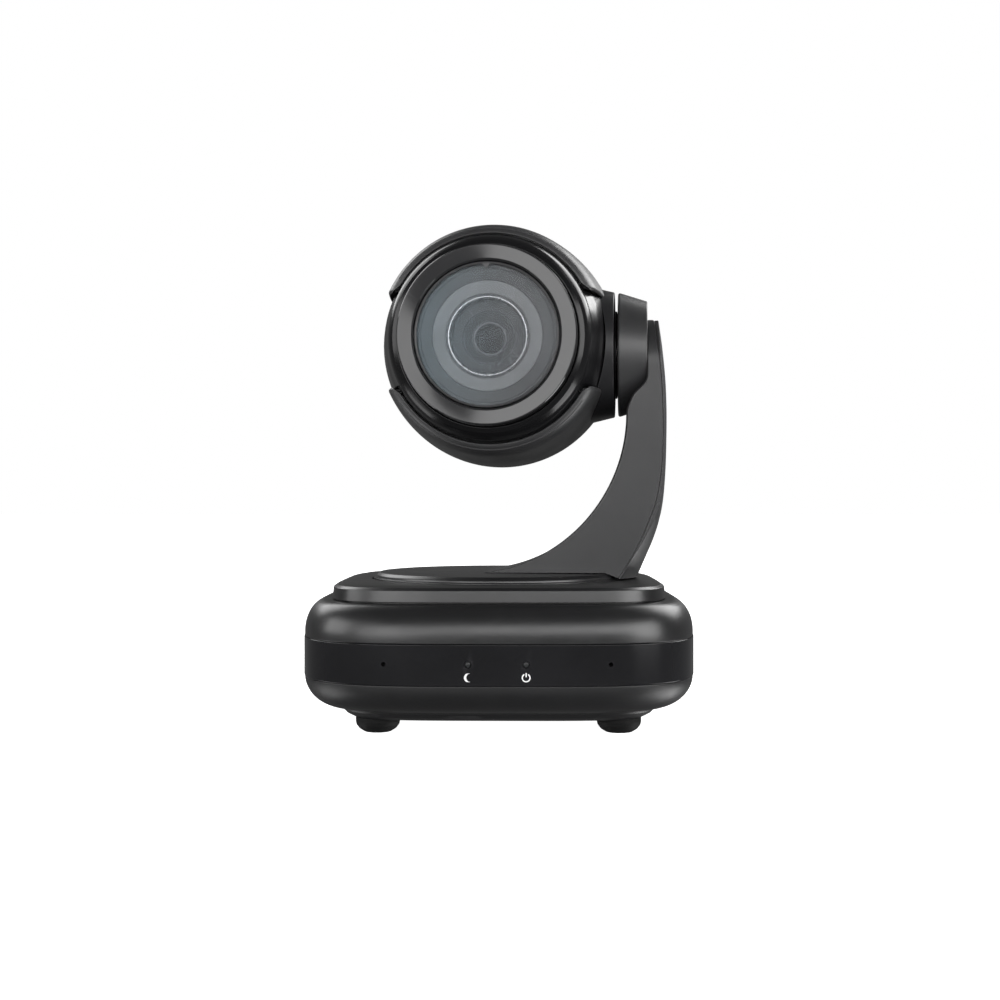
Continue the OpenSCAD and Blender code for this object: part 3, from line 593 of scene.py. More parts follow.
band_profile = rounded(rectangle(base_half - 2.3, band_bottom + 0.02, base_half, band_top - 0.02), 0.3)
band_rows = [Vector((base_half, status_height + z)) for z in (-1.2, 1.2)]
last_low = max(i for i, p in enumerate(band_profile) if p.x > base_half - 1e-4 and p.y < status_height)
band_profile[last_low + 1:last_low + 1] = band_rows
band = make("front_band", loft(band_profile, 320))
cut(band, window)


def front_hole(x, radius):
    """A round hole through the band's front, at the height of the status lights."""
    return prism(circle(x, status_height, radius, 36), -base_half - 1, 5)


for x, radius in ((-mic_place, 0.65), (mic_place, 0.65), (-status_place, 1.0), (status_place, 1.0)):
    cut(band, front_hole(x, radius))
add(band, "base", "band_gloss", "front_band")

cover_outline = rounded([
    (50.4, upper_top + 0.02, 0), (50.4, upper_top + 0.35, 0.1), (51.5, upper_top + 0.35, 0.15),
    (51.1, 42.8, 0.35), (50, 43.5, 0.5), (47.6, 43.9, 1.2), (44, cover_top, 2),
    (disc_radius + 1.4, cover_top, 0.3),
    (disc_radius + 1.4, 43.2, 0.1), (15, 43.2, 0.2), (15, 41.6, 0.2), (43.6, 41.6, 0.2),
    (43.6, upper_top - 1.6, 0.2), (45.8, upper_top - 1.6, 0.2), (45.8, upper_top + 0.02, 0)
], 0, 5)
cover_rings = [(p.x, p.y, 1 if 14 < p.x < disc_radius + 1.8 and p.y > 41.5 else 0) for p in cover_outline]
add(make("top_cover", loft(cover_rings)), "base", "shell_matte", "top_cover")

plate_rings = rounded([
    (5.6, plate_bottom, 0.3), (45.9, plate_bottom, 0.6), (47.6, plate_bottom + 0.9, 0.8),
    (48.6, plate_bottom + 2, 0.8), (48.8, plate_top, 0.2), (30, plate_top, 0.2), (30, plate_bottom + 2, 0.2),
    (5.6, plate_bottom + 2, 0.2)
], 0, 4)
plate = make("bottom_plate", loft([(p.x, p.y, 1 if p.x < 6 else 0) for p in plate_rings]))
for x, y in four_corners(foot_place):
    cut(plate, prism(circle(x, y, 2.5, 24), 0, 12, "z"))
for a in range(0, 360, 90):
    x, y = plate_screw_place * math.cos(math.radians(a)), plate_screw_place * math.sin(math.radians(a))
    cut(plate, prism(circle(x, y, 1.7, 24), 0, 12, "z"))
    cut(plate, prism(circle(x, y, 3, 36), 0, plate_bottom + 1.2, "z"))
add(plate, "base", "shell_lower", "bottom_plate")

foot_profile = rounded([
    (0, 0.0), (4, 0.0, 0.6), (5.45, 0.9, 1.2), (6.4, 2.1, 1.2), (6.63, 3.2, 0.8), (6.6, plate_bottom, 0.1),
    (2.4, plate_bottom, 0.1), (2.4, plate_bottom + 2.4, 0.3), (0, plate_bottom + 2.4)
], 0.2, 5, closed=False)
foot_geometry = []
for x, y in four_corners(foot_place):
    points, faces = revolve(foot_profile, False, 72, "pan")
    foot_geometry.append(([p + Vector((x, y, 0)) for p in points], faces))
feet = make("rubber_feet", joined(*foot_geometry))
add(feet, "base", "foot_rubber", "rubber_feet")


# ---- status lights, icons and microphones

def front_turn(profile, x, z, steps=40, closed=False):
    """A profile of [radius, distance forward] turned round a line that points out of the base's front."""
    points, faces = revolve(profile, closed, steps, "lens")
    return [p + Vector((x, 0, z)) for p in points], faces


pipe_front = base_half - 0.35
pipe_profile = [(0, base_half - 6), (1.8, base_half - 6), (1.8, base_half - 3.4), (0.9, base_half - 3.4),
                (0.9, pipe_front - 0.15), (0.75, pipe_front), (0.4, pipe_front + 0.08), (0, pipe_front + 0.1)]
pipe_geometry = [front_turn(pipe_profile, x, status_height) for x in (-status_place, status_place)]
pipes = make("status_lenses", joined(*pipe_geometry))
add(pipes, "base", "light_pipe", "status_lenses")

icon_z = status_height - 3.6
icon_thick = 0.06


def icon_face_y(x):
    """Where the band's front face is at x."""
    return -base_half * (1 - abs(x / base_half) ** PLAN_POWER) ** (1 / PLAN_POWER)


def ring_segment(r_in, r_out, start, end, steps=36):
    """Part of a flat ring, from start to end in degrees."""
    return arc(0, 0, r_out, r_out, start, end, steps) + arc(0, 0, r_in, r_in, end, start, steps)


def icon(name, outlines, x, z):
    """Thin printed shapes on the band's face."""
    y = icon_face_y(x) - 0.012
    parts = [prism([(x + p[0], z + p[1]) for p in outline], y, icon_thick) for outline in outlines]
    piece = make(name, joined(*parts))
    return add(piece, "base", "band_gloss", material=inks["icon"])


icon_size = 1.25
moon_out = arc(0, 0, icon_size, icon_size, 65, 295, 32)
moon_in = arc(0.72, 0, 1.27, 1.27, 243, 117, 26)
icon("standby_icon", [moon_out + moon_in], -status_place + 0.1, icon_z)
icon("power_icon", [
    ring_segment(icon_size - 0.32, icon_size, 118, 422),
    rectangle(-0.16, 0.2, 0.16, icon_size + 0.12)
], status_place, icon_z)


# ---- turntable

disc_profile = rounded([
    (0, disc_bottom), (disc_radius + 0.8, disc_bottom, 0.15), (disc_radius + 0.8, disc_bottom + 0.6, 0.15),
    (disc_radius, disc_bottom + 0.75, 0.1), (disc_radius - 0.1, disc_top - 1.3, 0.8),
    (disc_radius - 1.2, disc_top - 0.32, 1.0), (0, disc_top - 0.02)
], 0.2, 6, closed=False)
disc = make("turntable", revolve(disc_profile, False, 320, "pan"), pan_place)
add(disc, "arm", "shell_matte", "turntable")


# ---- arm

arm_bottom = cover_top + 0.5
half_depth = 17
side_corner = 15
arm_edge = spline([
    (44.5, 44.3), (51.5, 47.3), (56.5, 49.4), (62, 51.2), (69, 52.6), (79, 53.4), (90, 53.7), (99, 53.7),
    (108, 53.3), (118, 52.3), (arm_top, 51.1)
], 6)
arm_seam = spline([
    (44.5, 38.4), (50, 42), (56, 45.2), (62, 47.8), (69, 50.3), (79, 51.9), (90, 52.4), (104, 52),
    (114, 51.1), (arm_top, 49.6)
], 6)
foot_curve = spline([(44, 28.4), (50, 31.4), (56, 34.6), (62, 37.4), (69, 41), (79, 60), (132, 90)], 6)
inner_centre = Vector((-9, 96))
inner_radius = 50
inner_upper = spline([
    (97, 40.98), (99.5, 41.9), (102, 43.2), (104.3, 45.4), (106.5, 47), (111, 47.3), (132, 46.9)
], 6)
crown_centre = -90
foot_centre = 16
seam_gap = 0.05
curve_top = 97
curve_start_angle = -83.6
curve_sweep = 85.6
straight_start = 98


def arm_inner(z):
    """How far right the arm's inner face is at height z: an arc, then the curve round the hub."""
    if z > curve_top:
        return value_at(inner_upper, z)
    drop = inner_radius ** 2 - (z - inner_centre.y) ** 2
    return inner_centre.x + math.sqrt(max(drop, 31.0))


def arm_outer(z, y):
    """How far right the arm's outer face is: rounded in front and behind, and round at the foot."""
    crown = crown_centre + math.sqrt((value_at(arm_edge, z) - crown_centre) ** 2 - y * y)
    foot = foot_centre + math.sqrt(max(value_at(foot_curve, z) ** 2 - y * y, 0))
    return min(crown, foot)


def end_inset(z, top, size):
    """How far a rounded top edge of that size has drawn in at height z."""
    over = z - (top - size)
    return size - math.sqrt(max(size * size - over * over, 0)) if over > 0 else 0


def arm_levels(top, size):
    """The heights of the arm's outlines, close together where the shape curves."""
    low = [arm_bottom, arm_bottom + 0.9, disc_top - 0.1]
    curve = [inner_centre.y + inner_radius * math.sin(math.radians(a)) for a in
             (curve_start_angle + curve_sweep * k / 64 for k in range(65))]
    straight = [straight_start + (top - side_corner - straight_start) * k / 22 for k in range(1, 22)]
    corner = [top - side_corner + (side_corner - size) * k / 12 for k in range(12)]
    cap = [top - size + size * math.sin(math.radians(a)) for a in range(0, 90, 10)]
    return low + curve + straight + corner + cap + [top - 0.001]


def arm_rings(top, size, inside, outside, edges):
    """Outlines of a part of the arm at each height, from its inner to its outer side."""
    rings = []
    for z in arm_levels(top, size):
        inset = end_inset(z, top, size)
        depth = half_depth - end_inset(z, top, side_corner) * 0.92 - inset
        painted_reflection_side = [depth * math.sin(math.radians(a)) for a in range(-90, 91, 6)]
        low = inside(z) + inset
        outer = [(max(outside(z, y) - inset, low + 0.12), y) for y in painted_reflection_side]
        corners = [(low, -depth, edges[0]), (outer[0][0], -depth, edges[1])]
        corners += [(*p, 0) for p in outer[1:-1]]
        corners += [(outer[-1][0], depth, edges[1]), (low, depth, edges[0])]
        rings.append([Vector((p.x, p.y, z)) for p in rounded(corners, 0, 4)])
    return rings


def seam_at(z):
    """How far right the seam between the arm's frame and its side cover is at height z."""
    return value_at(arm_seam, z)


def frame_outer(z, y):
    """How far right the frame's outer side is: up to the seam."""
    return min(seam_at(z) - seam_gap, arm_outer(z, y))


disc_space = revolve([(0, 40), (45, 40), (45, arm_bottom + 0.02), (42.8, arm_bottom + 0.02),
                      (disc_radius - 1.6, disc_top + 0.02), (0, disc_top + 0.02)], False, 180, "pan")
pocket = prism(rounded(rectangle(-14, 58.6, 14, 118.4), 5, 6), 47.7, 12, "x")
tilt_bore = revolve([(0, 30), (9.4, 30), (9.4, 50.5), (0, 50.5)], False, 96, "tilt")
motor_bore = revolve([(0, 40.4), (9.5, 40.4), (9.5, 50), (0, 50)], False, 72, "tilt")
at_motor = pan_place @ Matrix.Translation((0, 0, 70))
frame_rings = arm_rings(arm_top, 1.1, arm_inner, frame_outer, (0.9, 0.22))
arm = make("arm_frame", skin(frame_rings, caps=True), pan_place)
cut(arm, disc_space, pan_place)
cut(arm, pocket, pan_place)
cut(arm, tilt_bore, head_place)
cut(arm, motor_bore, at_motor)
add(arm, "arm", "arm_matte", "arm_frame")

cover_rings = arm_rings(arm_top - 0.25, 0.65, lambda z: seam_at(z) + seam_gap, arm_outer, (0.22, 0.22))
side = make("arm_side_cover", skin(cover_rings, caps=True), pan_place)
cut(side, disc_space, pan_place)
cut(side, prism(rounded(rectangle(-10.5, 64, 10.5, 118.4), 4, 5), 44, 6.6, "x"), pan_place)
cut(side, tilt_bore, head_place)
add(side, "arm", "arm_matte", "arm_side_cover")

hub_start = 38.3
hub_profile = rounded([
    (12.6, hub_start, 0.2), (20, hub_start, 0.6), (17, 47.6, 0.5), (9.4, 47.6, 0), (9.4, 46), (11.05, 46),
    (11.05, hub_start + 1.2), (12.6, hub_start + 1.2)
], 0, 6)
add(make("tilt_hub", revolve(hub_profile, axis="tilt"), head_place), "arm", "arm_matte")


# ---- head shells

rear_centre = -6.3
head_radius = 38.3
head_wall = 2
edge_roll = 0.35
notch_roll = 0.8
split_gap = 0.06
lip_start_angle = 18
lip_corner = 3.2
back_steps = 44


def head_outline():
    """The shells' outer profile, [radius, distance forward], from the back to the front lip."""
    points = []
    for k in range(back_steps):
        a = math.radians(90 * k / back_steps)
        points.append(Vector((head_radius * math.sin(a), rear_centre - head_radius * math.cos(a))))
    lip = arc(32, 20.4, 4, 9.6, lip_start_angle, 90, 16)
    run = lip[0].y - rear_centre
    slope = -0.135
    count = 46
    for k in range(count):
        t = k / count
        r = (head_radius * (2 * t ** 3 - 3 * t ** 2 + 1) + lip[0].x * (3 * t ** 2 - 2 * t ** 3)
             + slope * run * (t ** 3 - t ** 2))
        points.append(Vector((r, rear_centre + run * t)))
    tail = lip[:-1]
    end = lip[-1]
    for gap in (0.35, 0.22, 0.12, 0.05, 0):
        tail.append(Vector((end.x + gap, end.y - gap * gap * 0.02)))
    return points + tail


def roll(distance, size=edge_roll):
    """How far a surface turns in near its own edge."""
    if distance >= size:
        return 0
    return size - math.sqrt(size ** 2 - (size - max(distance, 0)) ** 2)


def notch_height(f, half):
    """How high the side notch is above its middle at distance f forward; its back end is round."""
    if f >= 0:
        return half
    return math.sqrt(max(half * half - f * f, 0))


def notch_distance(f, h, half):
    """How far a point at f, h is outside the side notches."""
    return (math.hypot(f, h) if f < 0 else abs(h)) - half


def shell_columns(length):
    """Where the columns stand along half of a row, from the notch's edge."""
    near = [0, 0.03, 0.08, 0.16, 0.27, 0.4, 0.6, 0.85, 1.15, 1.5, 1.9, 2.6]
    scale = min(1, length / 8)
    near = [d * scale for d in near]
    rest = 34
    start = near[-1]
    return near + [start + (length - start) * k / rest for k in range(1, rest + 1)]


def shell_row(p, normal, to_lip, up):
    """One row of points across half of the shell, from notch to notch, at point p of the outline."""
    height = max(notch_height(p.y, notch_half), split_gap)
    if to_lip < lip_corner:
        height += lip_corner - math.sqrt(lip_corner ** 2 - (lip_corner - to_lip) ** 2)
    radius = max(p.x, 1e-4)
    first = math.asin(min(height / radius, 0.999)) if radius > split_gap else math.radians(5)
    half_row = [first + d / radius for d in shell_columns((math.pi / 2 - first) * radius)]
    row = []
    for angle in half_row + [math.pi - a for a in reversed(half_row[:-1])]:
        h = radius * math.sin(angle)
        at_edge = roll(min(to_lip, h - split_gap))
        at_notch = roll(notch_distance(p.y, h, notch_half), notch_roll)
        q = p - normal * (max(at_edge, at_notch) if radius > 2 else 0)
        row.append(Vector((q.x * math.cos(angle), -q.y, q.x * math.sin(angle) * up)))
    return row


def head_shell(name, up):
    """One half of the head's shell, above its seam when up is 1 and below it when up is -1."""
    outline = head_outline()
    travelled = [0]
    for p, q in zip(outline, outline[1:]):
        travelled.append(travelled[-1] + (q - p).length)
    rows = []
    for i, p in enumerate(outline):
        ahead = outline[min(i + 1, len(outline) - 1)]
        back = outline[max(i - 1, 0)]
        normal = unit(Vector((ahead.y - back.y, back.x - ahead.x)))
        rows.append(shell_row(p, normal, travelled[-1] - travelled[i], up))
    points = [q for row in rows for q in row]
    width = len(rows[0])
    faces = [(i * width + j, i * width + j + 1, (i + 1) * width + j + 1, (i + 1) * width + j)
             for i in range(len(rows) - 1) for j in range(width - 1)]
    piece = make(name, (points, faces), lens_place, smooth=50)
    centre = lens_place @ Vector((0, 0, 0)) * MM
    face = max(piece.data.polygons, key=lambda f: f.area)
    if face.normal.dot(face.center - centre) < 0:
        piece.data.flip_normals()
    return thicken(piece, head_wall)


add(head_shell("head_top_shell", 1), "head", "head_matte", "head_top_shell")
add(head_shell("head_bottom_shell", -1), "head", "head_matte", "head_bottom_shell")


# ---- inner body

core_outline = spline([
    (33.4, -14.4), (33.4, 5), (33.2, 13), (33, 20), (32.2, 26), (31.4, 30.4), (30.95, 32.6), (30.1, 34.6),
    (28.9, 36.1)
], 7)
pad_outline = spline([
    (36.9, -14.4), (37.3, -4), (36.6, 8), (35.4, 15), (33.8, 22.5), (32.3, 27.4), (31.42, 30.4)
], 9)
pad_half = notch_half - 0.3


def pad_radius(f):
    """The outer radius of the body's side pads at distance f forward."""
    return value_at([(p.y, p.x) for p in pad_outline], f)


def body_row(p):
    """One ring of the inner body: pads that fill the side notches, and the plain body between them."""
    f, core = p.y, p.x
    pad = core if f > pad_outline[-1].y else max(pad_radius(f), core)
    h = notch_height(f, pad_half)
    edge = math.asin(h / pad)
    fractions = [0, 0.2, 0.38, 0.54, 0.68, 0.79, 0.87, 0.93, 0.97, 0.985, 0.995, 1]
    quarter = []
    for share in fractions:
        angle = edge * share
        distance = -notch_distance(f, pad * math.sin(angle), pad_half)
        r = max(pad - (roll(distance) if pad > core + 0.05 else 0), core)
        quarter.append((angle, r))
    start = edge + 0.0015
    steps = 22
    for k in range(steps + 1):
        quarter.append((start + (math.pi / 2 - start) * k / steps, core))
    half = quarter + [(math.pi - a, r) for a, r in reversed(quarter[:-1])]
    ring = half + [(-a, r) for a, r in reversed(half[1:-1])]
    return [Vector((r * math.cos(a), -f, r * math.sin(a))) for a, r in ring]


front_profile = rounded([
    (28.9, 36.1), (27.4, 37.0, 0.5), (27.0, 36.2, 0.15), (21, 36.2, 0.15), (21, 35.3, 0.1), (16, 35.3, 0.1),
    (16, 34, 0.1), (27.8, 34, 0.5), (29.4, 30.4, 0.5), (31, 20, 1), (31.6, -14.4)
], 0, 4, closed=False)
body_rings = [body_row(p) for p in core_outline]
angles = [math.atan2(q.z, q.x) for q in body_rings[-1]]
for p in front_profile[1:]:
    body_rings.append([Vector((p.x * math.cos(a), -p.y, p.x * math.sin(a))) for a in angles])
body = make("inner_body", skin(body_rings, wrap=True), lens_place)
bore = shaft_radius + 0.1
cut(body, revolve([(0, 20), (bore, 20), (bore, 45), (0, 45)], False, 72, "tilt"), head_place)
add(body, "head", "body_gloss", "inner_body")


# ---- neck collar and hub side

head_table = [(p.y, p.x) for p in head_outline()]


def neck_start(radius, angle):
    """Where a line along the tilt axis at that radius meets the head, a little below its surface."""
    y, z = radius * math.cos(angle), radius * math.sin(angle)
    reach = value_at(head_table, -y) - 1.3
    return math.sqrt(max(reach ** 2 - (z - lens_rise) ** 2, 4))


neck_end = 37.2
face_start = 36.0
neck_rings = []
neck_face = rounded([
    (20.3, face_start), (20.0, neck_end, 0.45), (14, neck_end, 0.3), (14, 38, 0.3), (8.1, 38, 0.2), (8.1, 34)
], 0, 5, closed=False)
neck_angles = [2 * math.pi * i / 192 for i in range(192)]


def neck_ring(place_at, radius_at):
    """One ring round the tilt axis: its place along the axis by angle, and its radius by that place."""
    ring = []
    for a in neck_angles:
        x = place_at(a)
        r = radius_at(x)
        ring.append(Vector((x, r * math.cos(a), r * math.sin(a))))
    return ring


def along_neck(sixths):
    """Places some sixths of the way from the head's surface to the neck's end face."""
    def place_at(a):
        """How far along the axis the ring is at this angle."""
        begin = neck_start(21.6, a)
        return begin + (face_start - begin) * sixths / 6
    return place_at


for k in range(6):
    neck_rings.append(neck_ring(along_neck(k), lambda x: 22 - (x - 29) * 2 / 8.2))
for p in neck_face:
    neck_rings.append(neck_ring(lambda a: p.y, lambda x: p.x))
for r in (8.1, 12, 16, 19.5):
    neck_rings.append(neck_ring(lambda a: neck_start(r, a) + 0.2, lambda x: r))
neck = make("neck_collar", skin(neck_rings, wrap=True), head_place)
add(neck, "head", "neck_satin", "neck_collar")


# ---- lens

def turned(name, profile, slot, *nodes, material=None, size=0.15, closed=True):
    """A turned piece of the lens, with its corners rounded."""
    outline = rounded(profile, size, 4, closed)
    return add(make(name, revolve(outline, closed), lens_place), "head", slot, *nodes, material=material)


turned("lens_ring", [
    (21.1, 36.3), (26.8, 36.3), (26.8, 41.1, 0.15), (26.5, 41.5, 0.25), (22.5, 41.2, 0.25), (22.0, 40.4, 0.2),
    (21.9, 38.4), (21.1, 38.4)
], "ring_gloss", "lens_ring")
turned("cover_glass", [(0, 38.5), (21.7, 38.5, 0.1), (21.7, 39.75, 0.1), (21.45, 40, 0.1), (0, 40)],
       "cover_glass", "cover_glass", closed=False)
tab = rounded([
    (2.0, 21.3, 0), (1.0, 20.9, 0.2), (0.28, 19.75, 0.35), (-0.28, 19.75, 0.35), (-1.0, 20.9, 0.2),
    (-2.0, 21.3, 0)
], 0, 4, closed=False)
retainer_profile = rounded([
    (20.95, 40.02), (21.6, 40.02), (21.6, 40.5, 0.15), (21.3, 40.62, 0.1), (20.95, 40.4, 0.1)
], 0.05, 3)
tab_piece = prism([(p.x, p.y) for p in tab] + [(-1.9, 21.4), (1.9, 21.4)], -40.5, 0.42)
retainer = make("retaining_ring", revolve(retainer_profile), lens_place)
cut(retainer, tab_piece, lens_place, "UNION")
add(retainer, "head", "ring_gloss", "retaining_ring", material=looks["lens_satin"])
turned("lens_face_ring", [
    (12.9, 35.4), (20.9, 35.4), (20.9, 38.3), (20.2, 38.3, 0.2), (19.8, 37.9, 0.2), (16.75, 37.2, 0.15),
    (16.6, 36.9, 0.1), (12.9, 36.6)
], "lens_satin", "lens_face_ring", material=inks["face_ring"])
turned("lens_bezel", [
    (12.75, 36.65), (16.5, 36.95), (16.5, 37.25, 0.1), (16.2, 37.4, 0.15), (13.0, 36.95, 0.2),
    (12.75, 36.8, 0.1)
], "lens_satin", material=inks["light_ring"])
turned("lens_barrel", [
    (13.2, -14), (15, -14), (15, 32), (22, 32), (22, 33.9), (15.9, 33.9), (15.8, 35.3), (12.7, 35.3),
    (12.7, 36.6, 0.05), (12.1, 36.75, 0.15), (11.75, 36.6, 0.15), (11.45, 36.1, 0.1), (11.45, 35.9, 0.05),
    (12.62, 35.4, 0.05), (12.62, 33.6, 0.05), (11, 33.2, 0.1), (11, 32.4), (13.2, 32.4)
], "lens_satin", "lens_barrel", material=inks["dark_ring"], size=0.1)
turned("bright_ring", [
    (11.5, 36.3), (11.95, 36.68, 0.1), (11.95, 36.9, 0.1), (11.6, 36.9, 0.1), (11.1, 36.45, 0.1)
], "lens_satin", material=looks["port_steel"], size=0.05)
turned("lens_funnel", [
    (11.2, 32.1), (11.2, 32.6, 0.1), (8.1, 32.3, 0.1), (7.85, 31.5, 0.1), (7.6, 31.2, 0.1), (5.6, 28.9, 0.15),
    (5.0, 29.1, 0.1), (4.7, 28.9, 0.1), (4.7, 28.0, 0.1), (5.3, 28.0), (8.15, 31.0), (8.15, 32.05)
], "lens_satin", material=inks["dark_ring"], size=0.1)


def lens_profile(radius, middle, half_mid, half_edge):
    """The outline of a lens that bulges on both sides, as [radius, distance forward]."""
    bulge = half_mid - half_edge
    steps = 18

    def side(k, sign):
        """A point of the front or the rear surface."""
        return radius * k / steps, middle + sign * half_edge + sign * (bulge * (1 - (k / steps) ** 2))

    return [side(k, 1) for k in range(steps + 1)] + [side(k, -1) for k in range(steps, -1, -1)]


for name, radius, middle, half_mid, half_edge, body_name in (
    ("front_element", 12.6, 34.6, 1.9, 0.7, "head"), ("zoom_lens", 7.95, 14, 1.8, 0.8, "zoom_group"),
    ("focus_lens", 7.95, -3, 1.8, 0.8, "focus_group")
):
    piece = make(name, revolve(lens_profile(radius, middle, half_mid, half_edge), False, 128), lens_place)
    add(piece, body_name, "lens_glass", name)
turned("throat_ring", [(4.6, 28.9), (5.05, 28.9), (5.05, 29.5, 0.1), (4.6, 29.3, 0.1)],
       "lens_satin", material=inks["light_ring"], size=0.05)
turned("funnel_ring", [(7.75, 31.1), (8.1, 31.1), (8.1, 31.65, 0.1), (7.75, 31.5, 0.1)],
       "lens_satin", material=inks["light_ring"], size=0.05)
piece = make("throat_lens", revolve(lens_profile(4.68, 28.6, 1.1, 0.4), False, 96), lens_place)
add(piece, "head", "lens_glass")


# ---- back panel and sockets

panel_outline = rectangle(-panel_half, panel_low_corner.z, panel_half, panel_high_corner.z)
panel = make("rear_panel", prism(rounded(panel_outline, 1.5, 6), panel_face - 2, 2))
for opening in (
    circle(dc_place, port_height, 4.1, 72), circle(control_place, port_height, 5.1, 72),
    rounded(rectangle_about(usb_place, port_height, 6.1, 5.6), 0.6, 4)
):
    cut(panel, prism(opening, panel_face - 5, 8))
bevel(panel, 0.25, 2)
add(panel, "base", "panel_matte", "rear_panel")


def back_turn(profile, x, z, steps=72, closed=True):
    """A profile of [radius, y] turned round a line that points out of the base's back."""
    return front_turn([(r, -y) for r, y in profile], x, z, steps, closed)


dc_front = panel_face + 0.2
dc_sleeve = rounded([
    (2.9, panel_face - 10), (4, panel_face - 10), (4, dc_front, 0.4), (3.1, dc_front, 0.3),
    (2.9, dc_front - 0.6)
], 0.05, 4)
dc = make("dc_jack", back_turn([(p.x, p.y) for p in dc_sleeve], dc_place, port_height))
dc_body = prism(rounded(rectangle(dc_place - 4.5, socket_floor, dc_place + 4.5, port_height + 5), 0.4, 3),
                panel_face - 14, 4.2)
cut(dc, dc_body, operation="UNION")
add(dc, "base", "port_black", "dc_jack")
pin_profile = [
    (0, panel_face - 10), (1.05, panel_face - 10), (1.05, panel_face - 1.3), (0.8, panel_face - 1.0),
    (0, panel_face - 1.0)
]
pin = make("dc_pin", back_turn(pin_profile, dc_place, port_height, 40, False))
add(pin, "base", "port_steel")

usb_outline = rounded(rectangle_about(usb_place, port_height, 6, 5.5), 0.5, 4)
usb = make("usb_port", prism(usb_outline, panel_face - 16, 16.3))
usb_corner = 1.9
usb_left, usb_right = usb_place - 4.25, usb_place + 4.25
usb_low, usb_high = port_height - 4, port_height + 4
usb_hole = rounded([
    (usb_left, usb_low), (usb_right, usb_low), (usb_right, usb_high - usb_corner),
    (usb_right - usb_corner, usb_high), (usb_left + usb_corner, usb_high), (usb_left, usb_high - usb_corner)
], 0.3, 3)
cut(usb, prism(usb_hole, panel_face - 12, 14))
bevel(usb, 0.18, 2)
add(usb, "base", "port_steel", "usb_port")
tongue_outline = rounded(rectangle_about(usb_place, port_height, 2.8, 1.6), 0.25, 3)
tongue = make("usb_tongue", prism(tongue_outline, panel_face - 12.2, 7.4))
bevel(tongue, 0.2, 2)
add(tongue, "base", "port_black")
usb_pins = []
for x in (-1.3, 1.3):
    for z in (-1.68, 1.6):
        low_z = port_height + z
        outline = rectangle(usb_place + x - 0.35, low_z, usb_place + x + 0.35, low_z + 0.08)
        usb_pins.append(prism(outline, panel_face - 11.5, 6.2))
add(make("usb_contacts", joined(*usb_pins)), "base", "brass")

control_front = panel_face + 0.2
control_sleeve = rounded([(4.4, panel_face - 5.5), (5, panel_face - 5.5), (5, control_front, 0.4),
                          (4.55, control_front, 0.15), (4.4, control_front - 0.3, 0.1)], 0.05, 4)
control = make("control_port", back_turn([(p.x, p.y) for p in control_sleeve], control_place, port_height))
control_body = prism(
    rounded(rectangle(control_place - 6.5, socket_floor, control_place + 6.5, port_height + 6.5), 0.4, 3),
    panel_face - 14, 8.6)
cut(control, control_body, operation="UNION")
for k in range(8):
    a = math.radians(-67.5 + 38.5 * k)
    x, z = control_place + 2.75 * math.cos(a), port_height + 2.75 * math.sin(a)
    cut(control, prism(circle(x, z, 0.5, 18), panel_face - 8, 4))
cut(control, prism(rectangle(control_place - 0.9, port_height - 1.3, control_place + 0.9, port_height - 0.1),
                   panel_face - 8, 4))
add(control, "base", "port_black", "control_port")


# ---- floor, light and camera

floor_material, floor_tree, floor_shader = new_material("pale floor")
feed(floor_tree, floor_shader, {
    "Base Color": (0.9, 0.9, 0.9, 1), "Roughness": 0.9, "Specular IOR Level": 0.0,
    "Emission Color": (1, 1, 1, 1), "Emission Strength": 1.0
})
floor_mesh = bpy.data.meshes.new("floor")
floor_mesh.from_pydata([(-6, -6, 0), (6, -6, 0), (6, 6, 0), (-6, 6, 0)], [], [(0, 1, 2, 3)])
floor = bpy.data.objects.new("floor", floor_mesh)
scene.collection.objects.link(floor)
floor.data.materials.append(floor_material)
floor.visible_glossy = False
floor.visible_diffuse = False
floor.visible_shadow = False

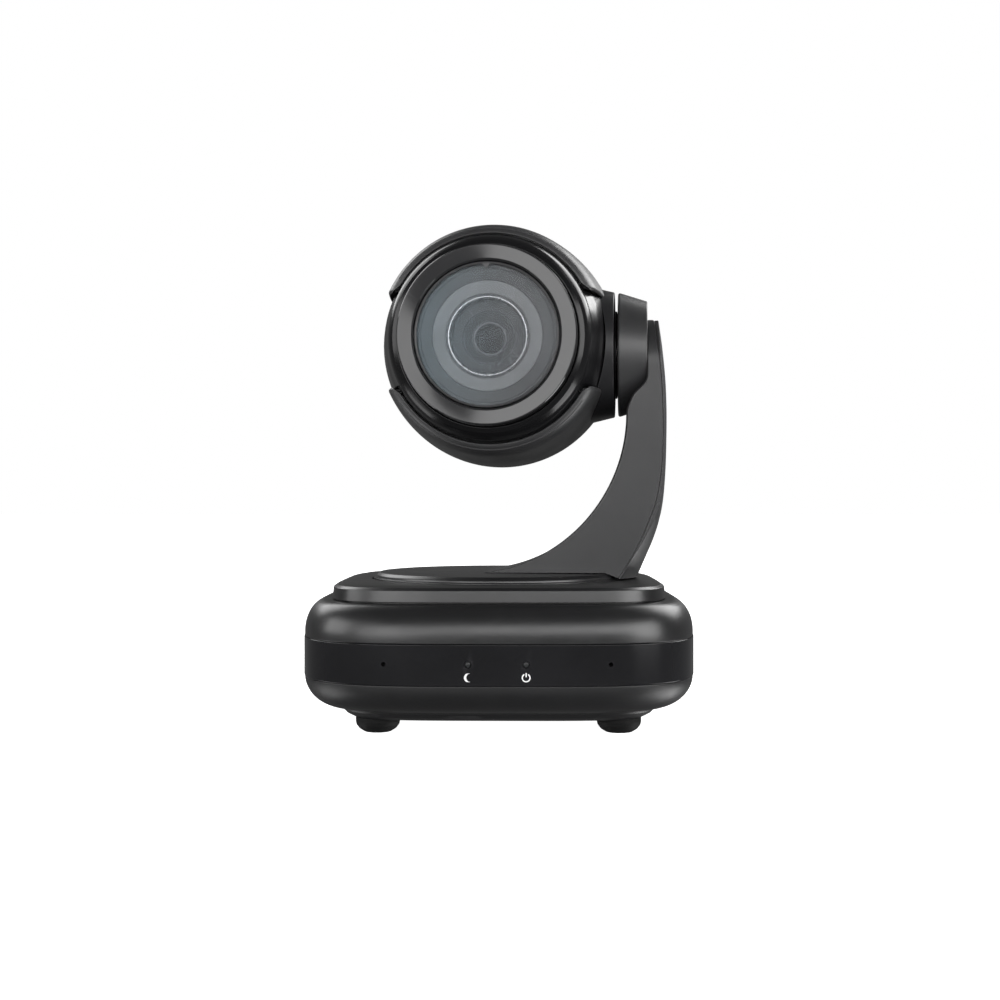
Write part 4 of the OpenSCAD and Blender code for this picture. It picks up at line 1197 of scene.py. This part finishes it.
world = bpy.data.worlds.new("studio")
scene.world = world
world.use_nodes = True
tree = world.node_tree
tree.nodes.clear()
paper = add_node(tree, "Background", {"Color": (1, 1, 1, 1)})
place = add_node(tree, "TexCoord").outputs["Generated"]
height = add_node(tree, "SeparateXYZ", {0: place}).outputs["Z"]
room = add_node(tree, "Background", {"Color": spread(tree, height, 0.15, 0.1, -0.2, 0.6)})
seen = add_node(tree, "LightPath").outputs["Is Camera Ray"]
mix = add_node(tree, "MixShader", {0: seen, 1: room.outputs[0], 2: paper.outputs[0]})
add_node(tree, "OutputWorld", {"Surface": mix.outputs[0]})

target = Vector((0, 0, 0.085))


def panel_light(name, azimuth, elevation, distance, width, height, radiance):
    """A soft panel that faces the object. Azimuth runs from the front to the viewer's right, in degrees."""
    a, e = math.radians(azimuth), math.radians(elevation)
    place = target + Vector((math.sin(a) * math.cos(e), -math.cos(a) * math.cos(e), math.sin(e))) * distance
    data = bpy.data.lights.new(name, "AREA")
    data.shape = "RECTANGLE"
    data.size = width
    data.size_y = height
    data.energy = radiance * math.pi * width * height
    lamp = bpy.data.objects.new(name, data)
    lamp.location = place
    lamp.rotation_euler = (target - place).to_track_quat("-Z", "Y").to_euler()
    lamp.visible_camera = False
    scene.collection.objects.link(lamp)
    return lamp


panel_light("front left panel", -27.2, 9, 1.0, 0.58, 0.44, 4.8)
panel_light("front right panel", 16.2, 15.9, 1.0, 0.76, 0.34, 4.8)
panel_light("front strip", -8.0, 9.2, 1.0, 0.09, 0.07, 4.3)
panel_light("left panel", -74, 14, 1.0, 0.7, 0.5, 4.0)
panel_light("right panel", 54, 10, 1.0, 0.56, 0.6, 6.2)
panel_light("low front panel", 0, -26, 1.0, 1.1, 0.4, 0.5)
panel_light("low left panel", -90, -34, 1.0, 0.7, 0.4, 3.0)
panel_light("low right panel", 95, -36, 1.0, 0.8, 0.4, 5.5)
panel_light("back left panel", -135, 34, 1.2, 0.7, 0.7, 3.6)
panel_light("back right panel", 130, 34, 1.2, 0.8, 0.7, 5.5)

camera_turn = math.radians(0.8)
camera_data = bpy.data.cameras.new("camera")
camera_data.lens = 50
camera_data.sensor_width = 36
camera_data.clip_start = 0.01
camera = bpy.data.objects.new("camera", camera_data)
camera.location = Matrix.Rotation(camera_turn, 4, "Z") @ Vector((0.0, -0.4512, 0.069))
camera.rotation_euler = (math.pi / 2, 0, camera_turn)
scene.collection.objects.link(camera)
scene.camera = camera
scene.view_settings.view_transform = "Standard"
scene.view_settings.look = "None"
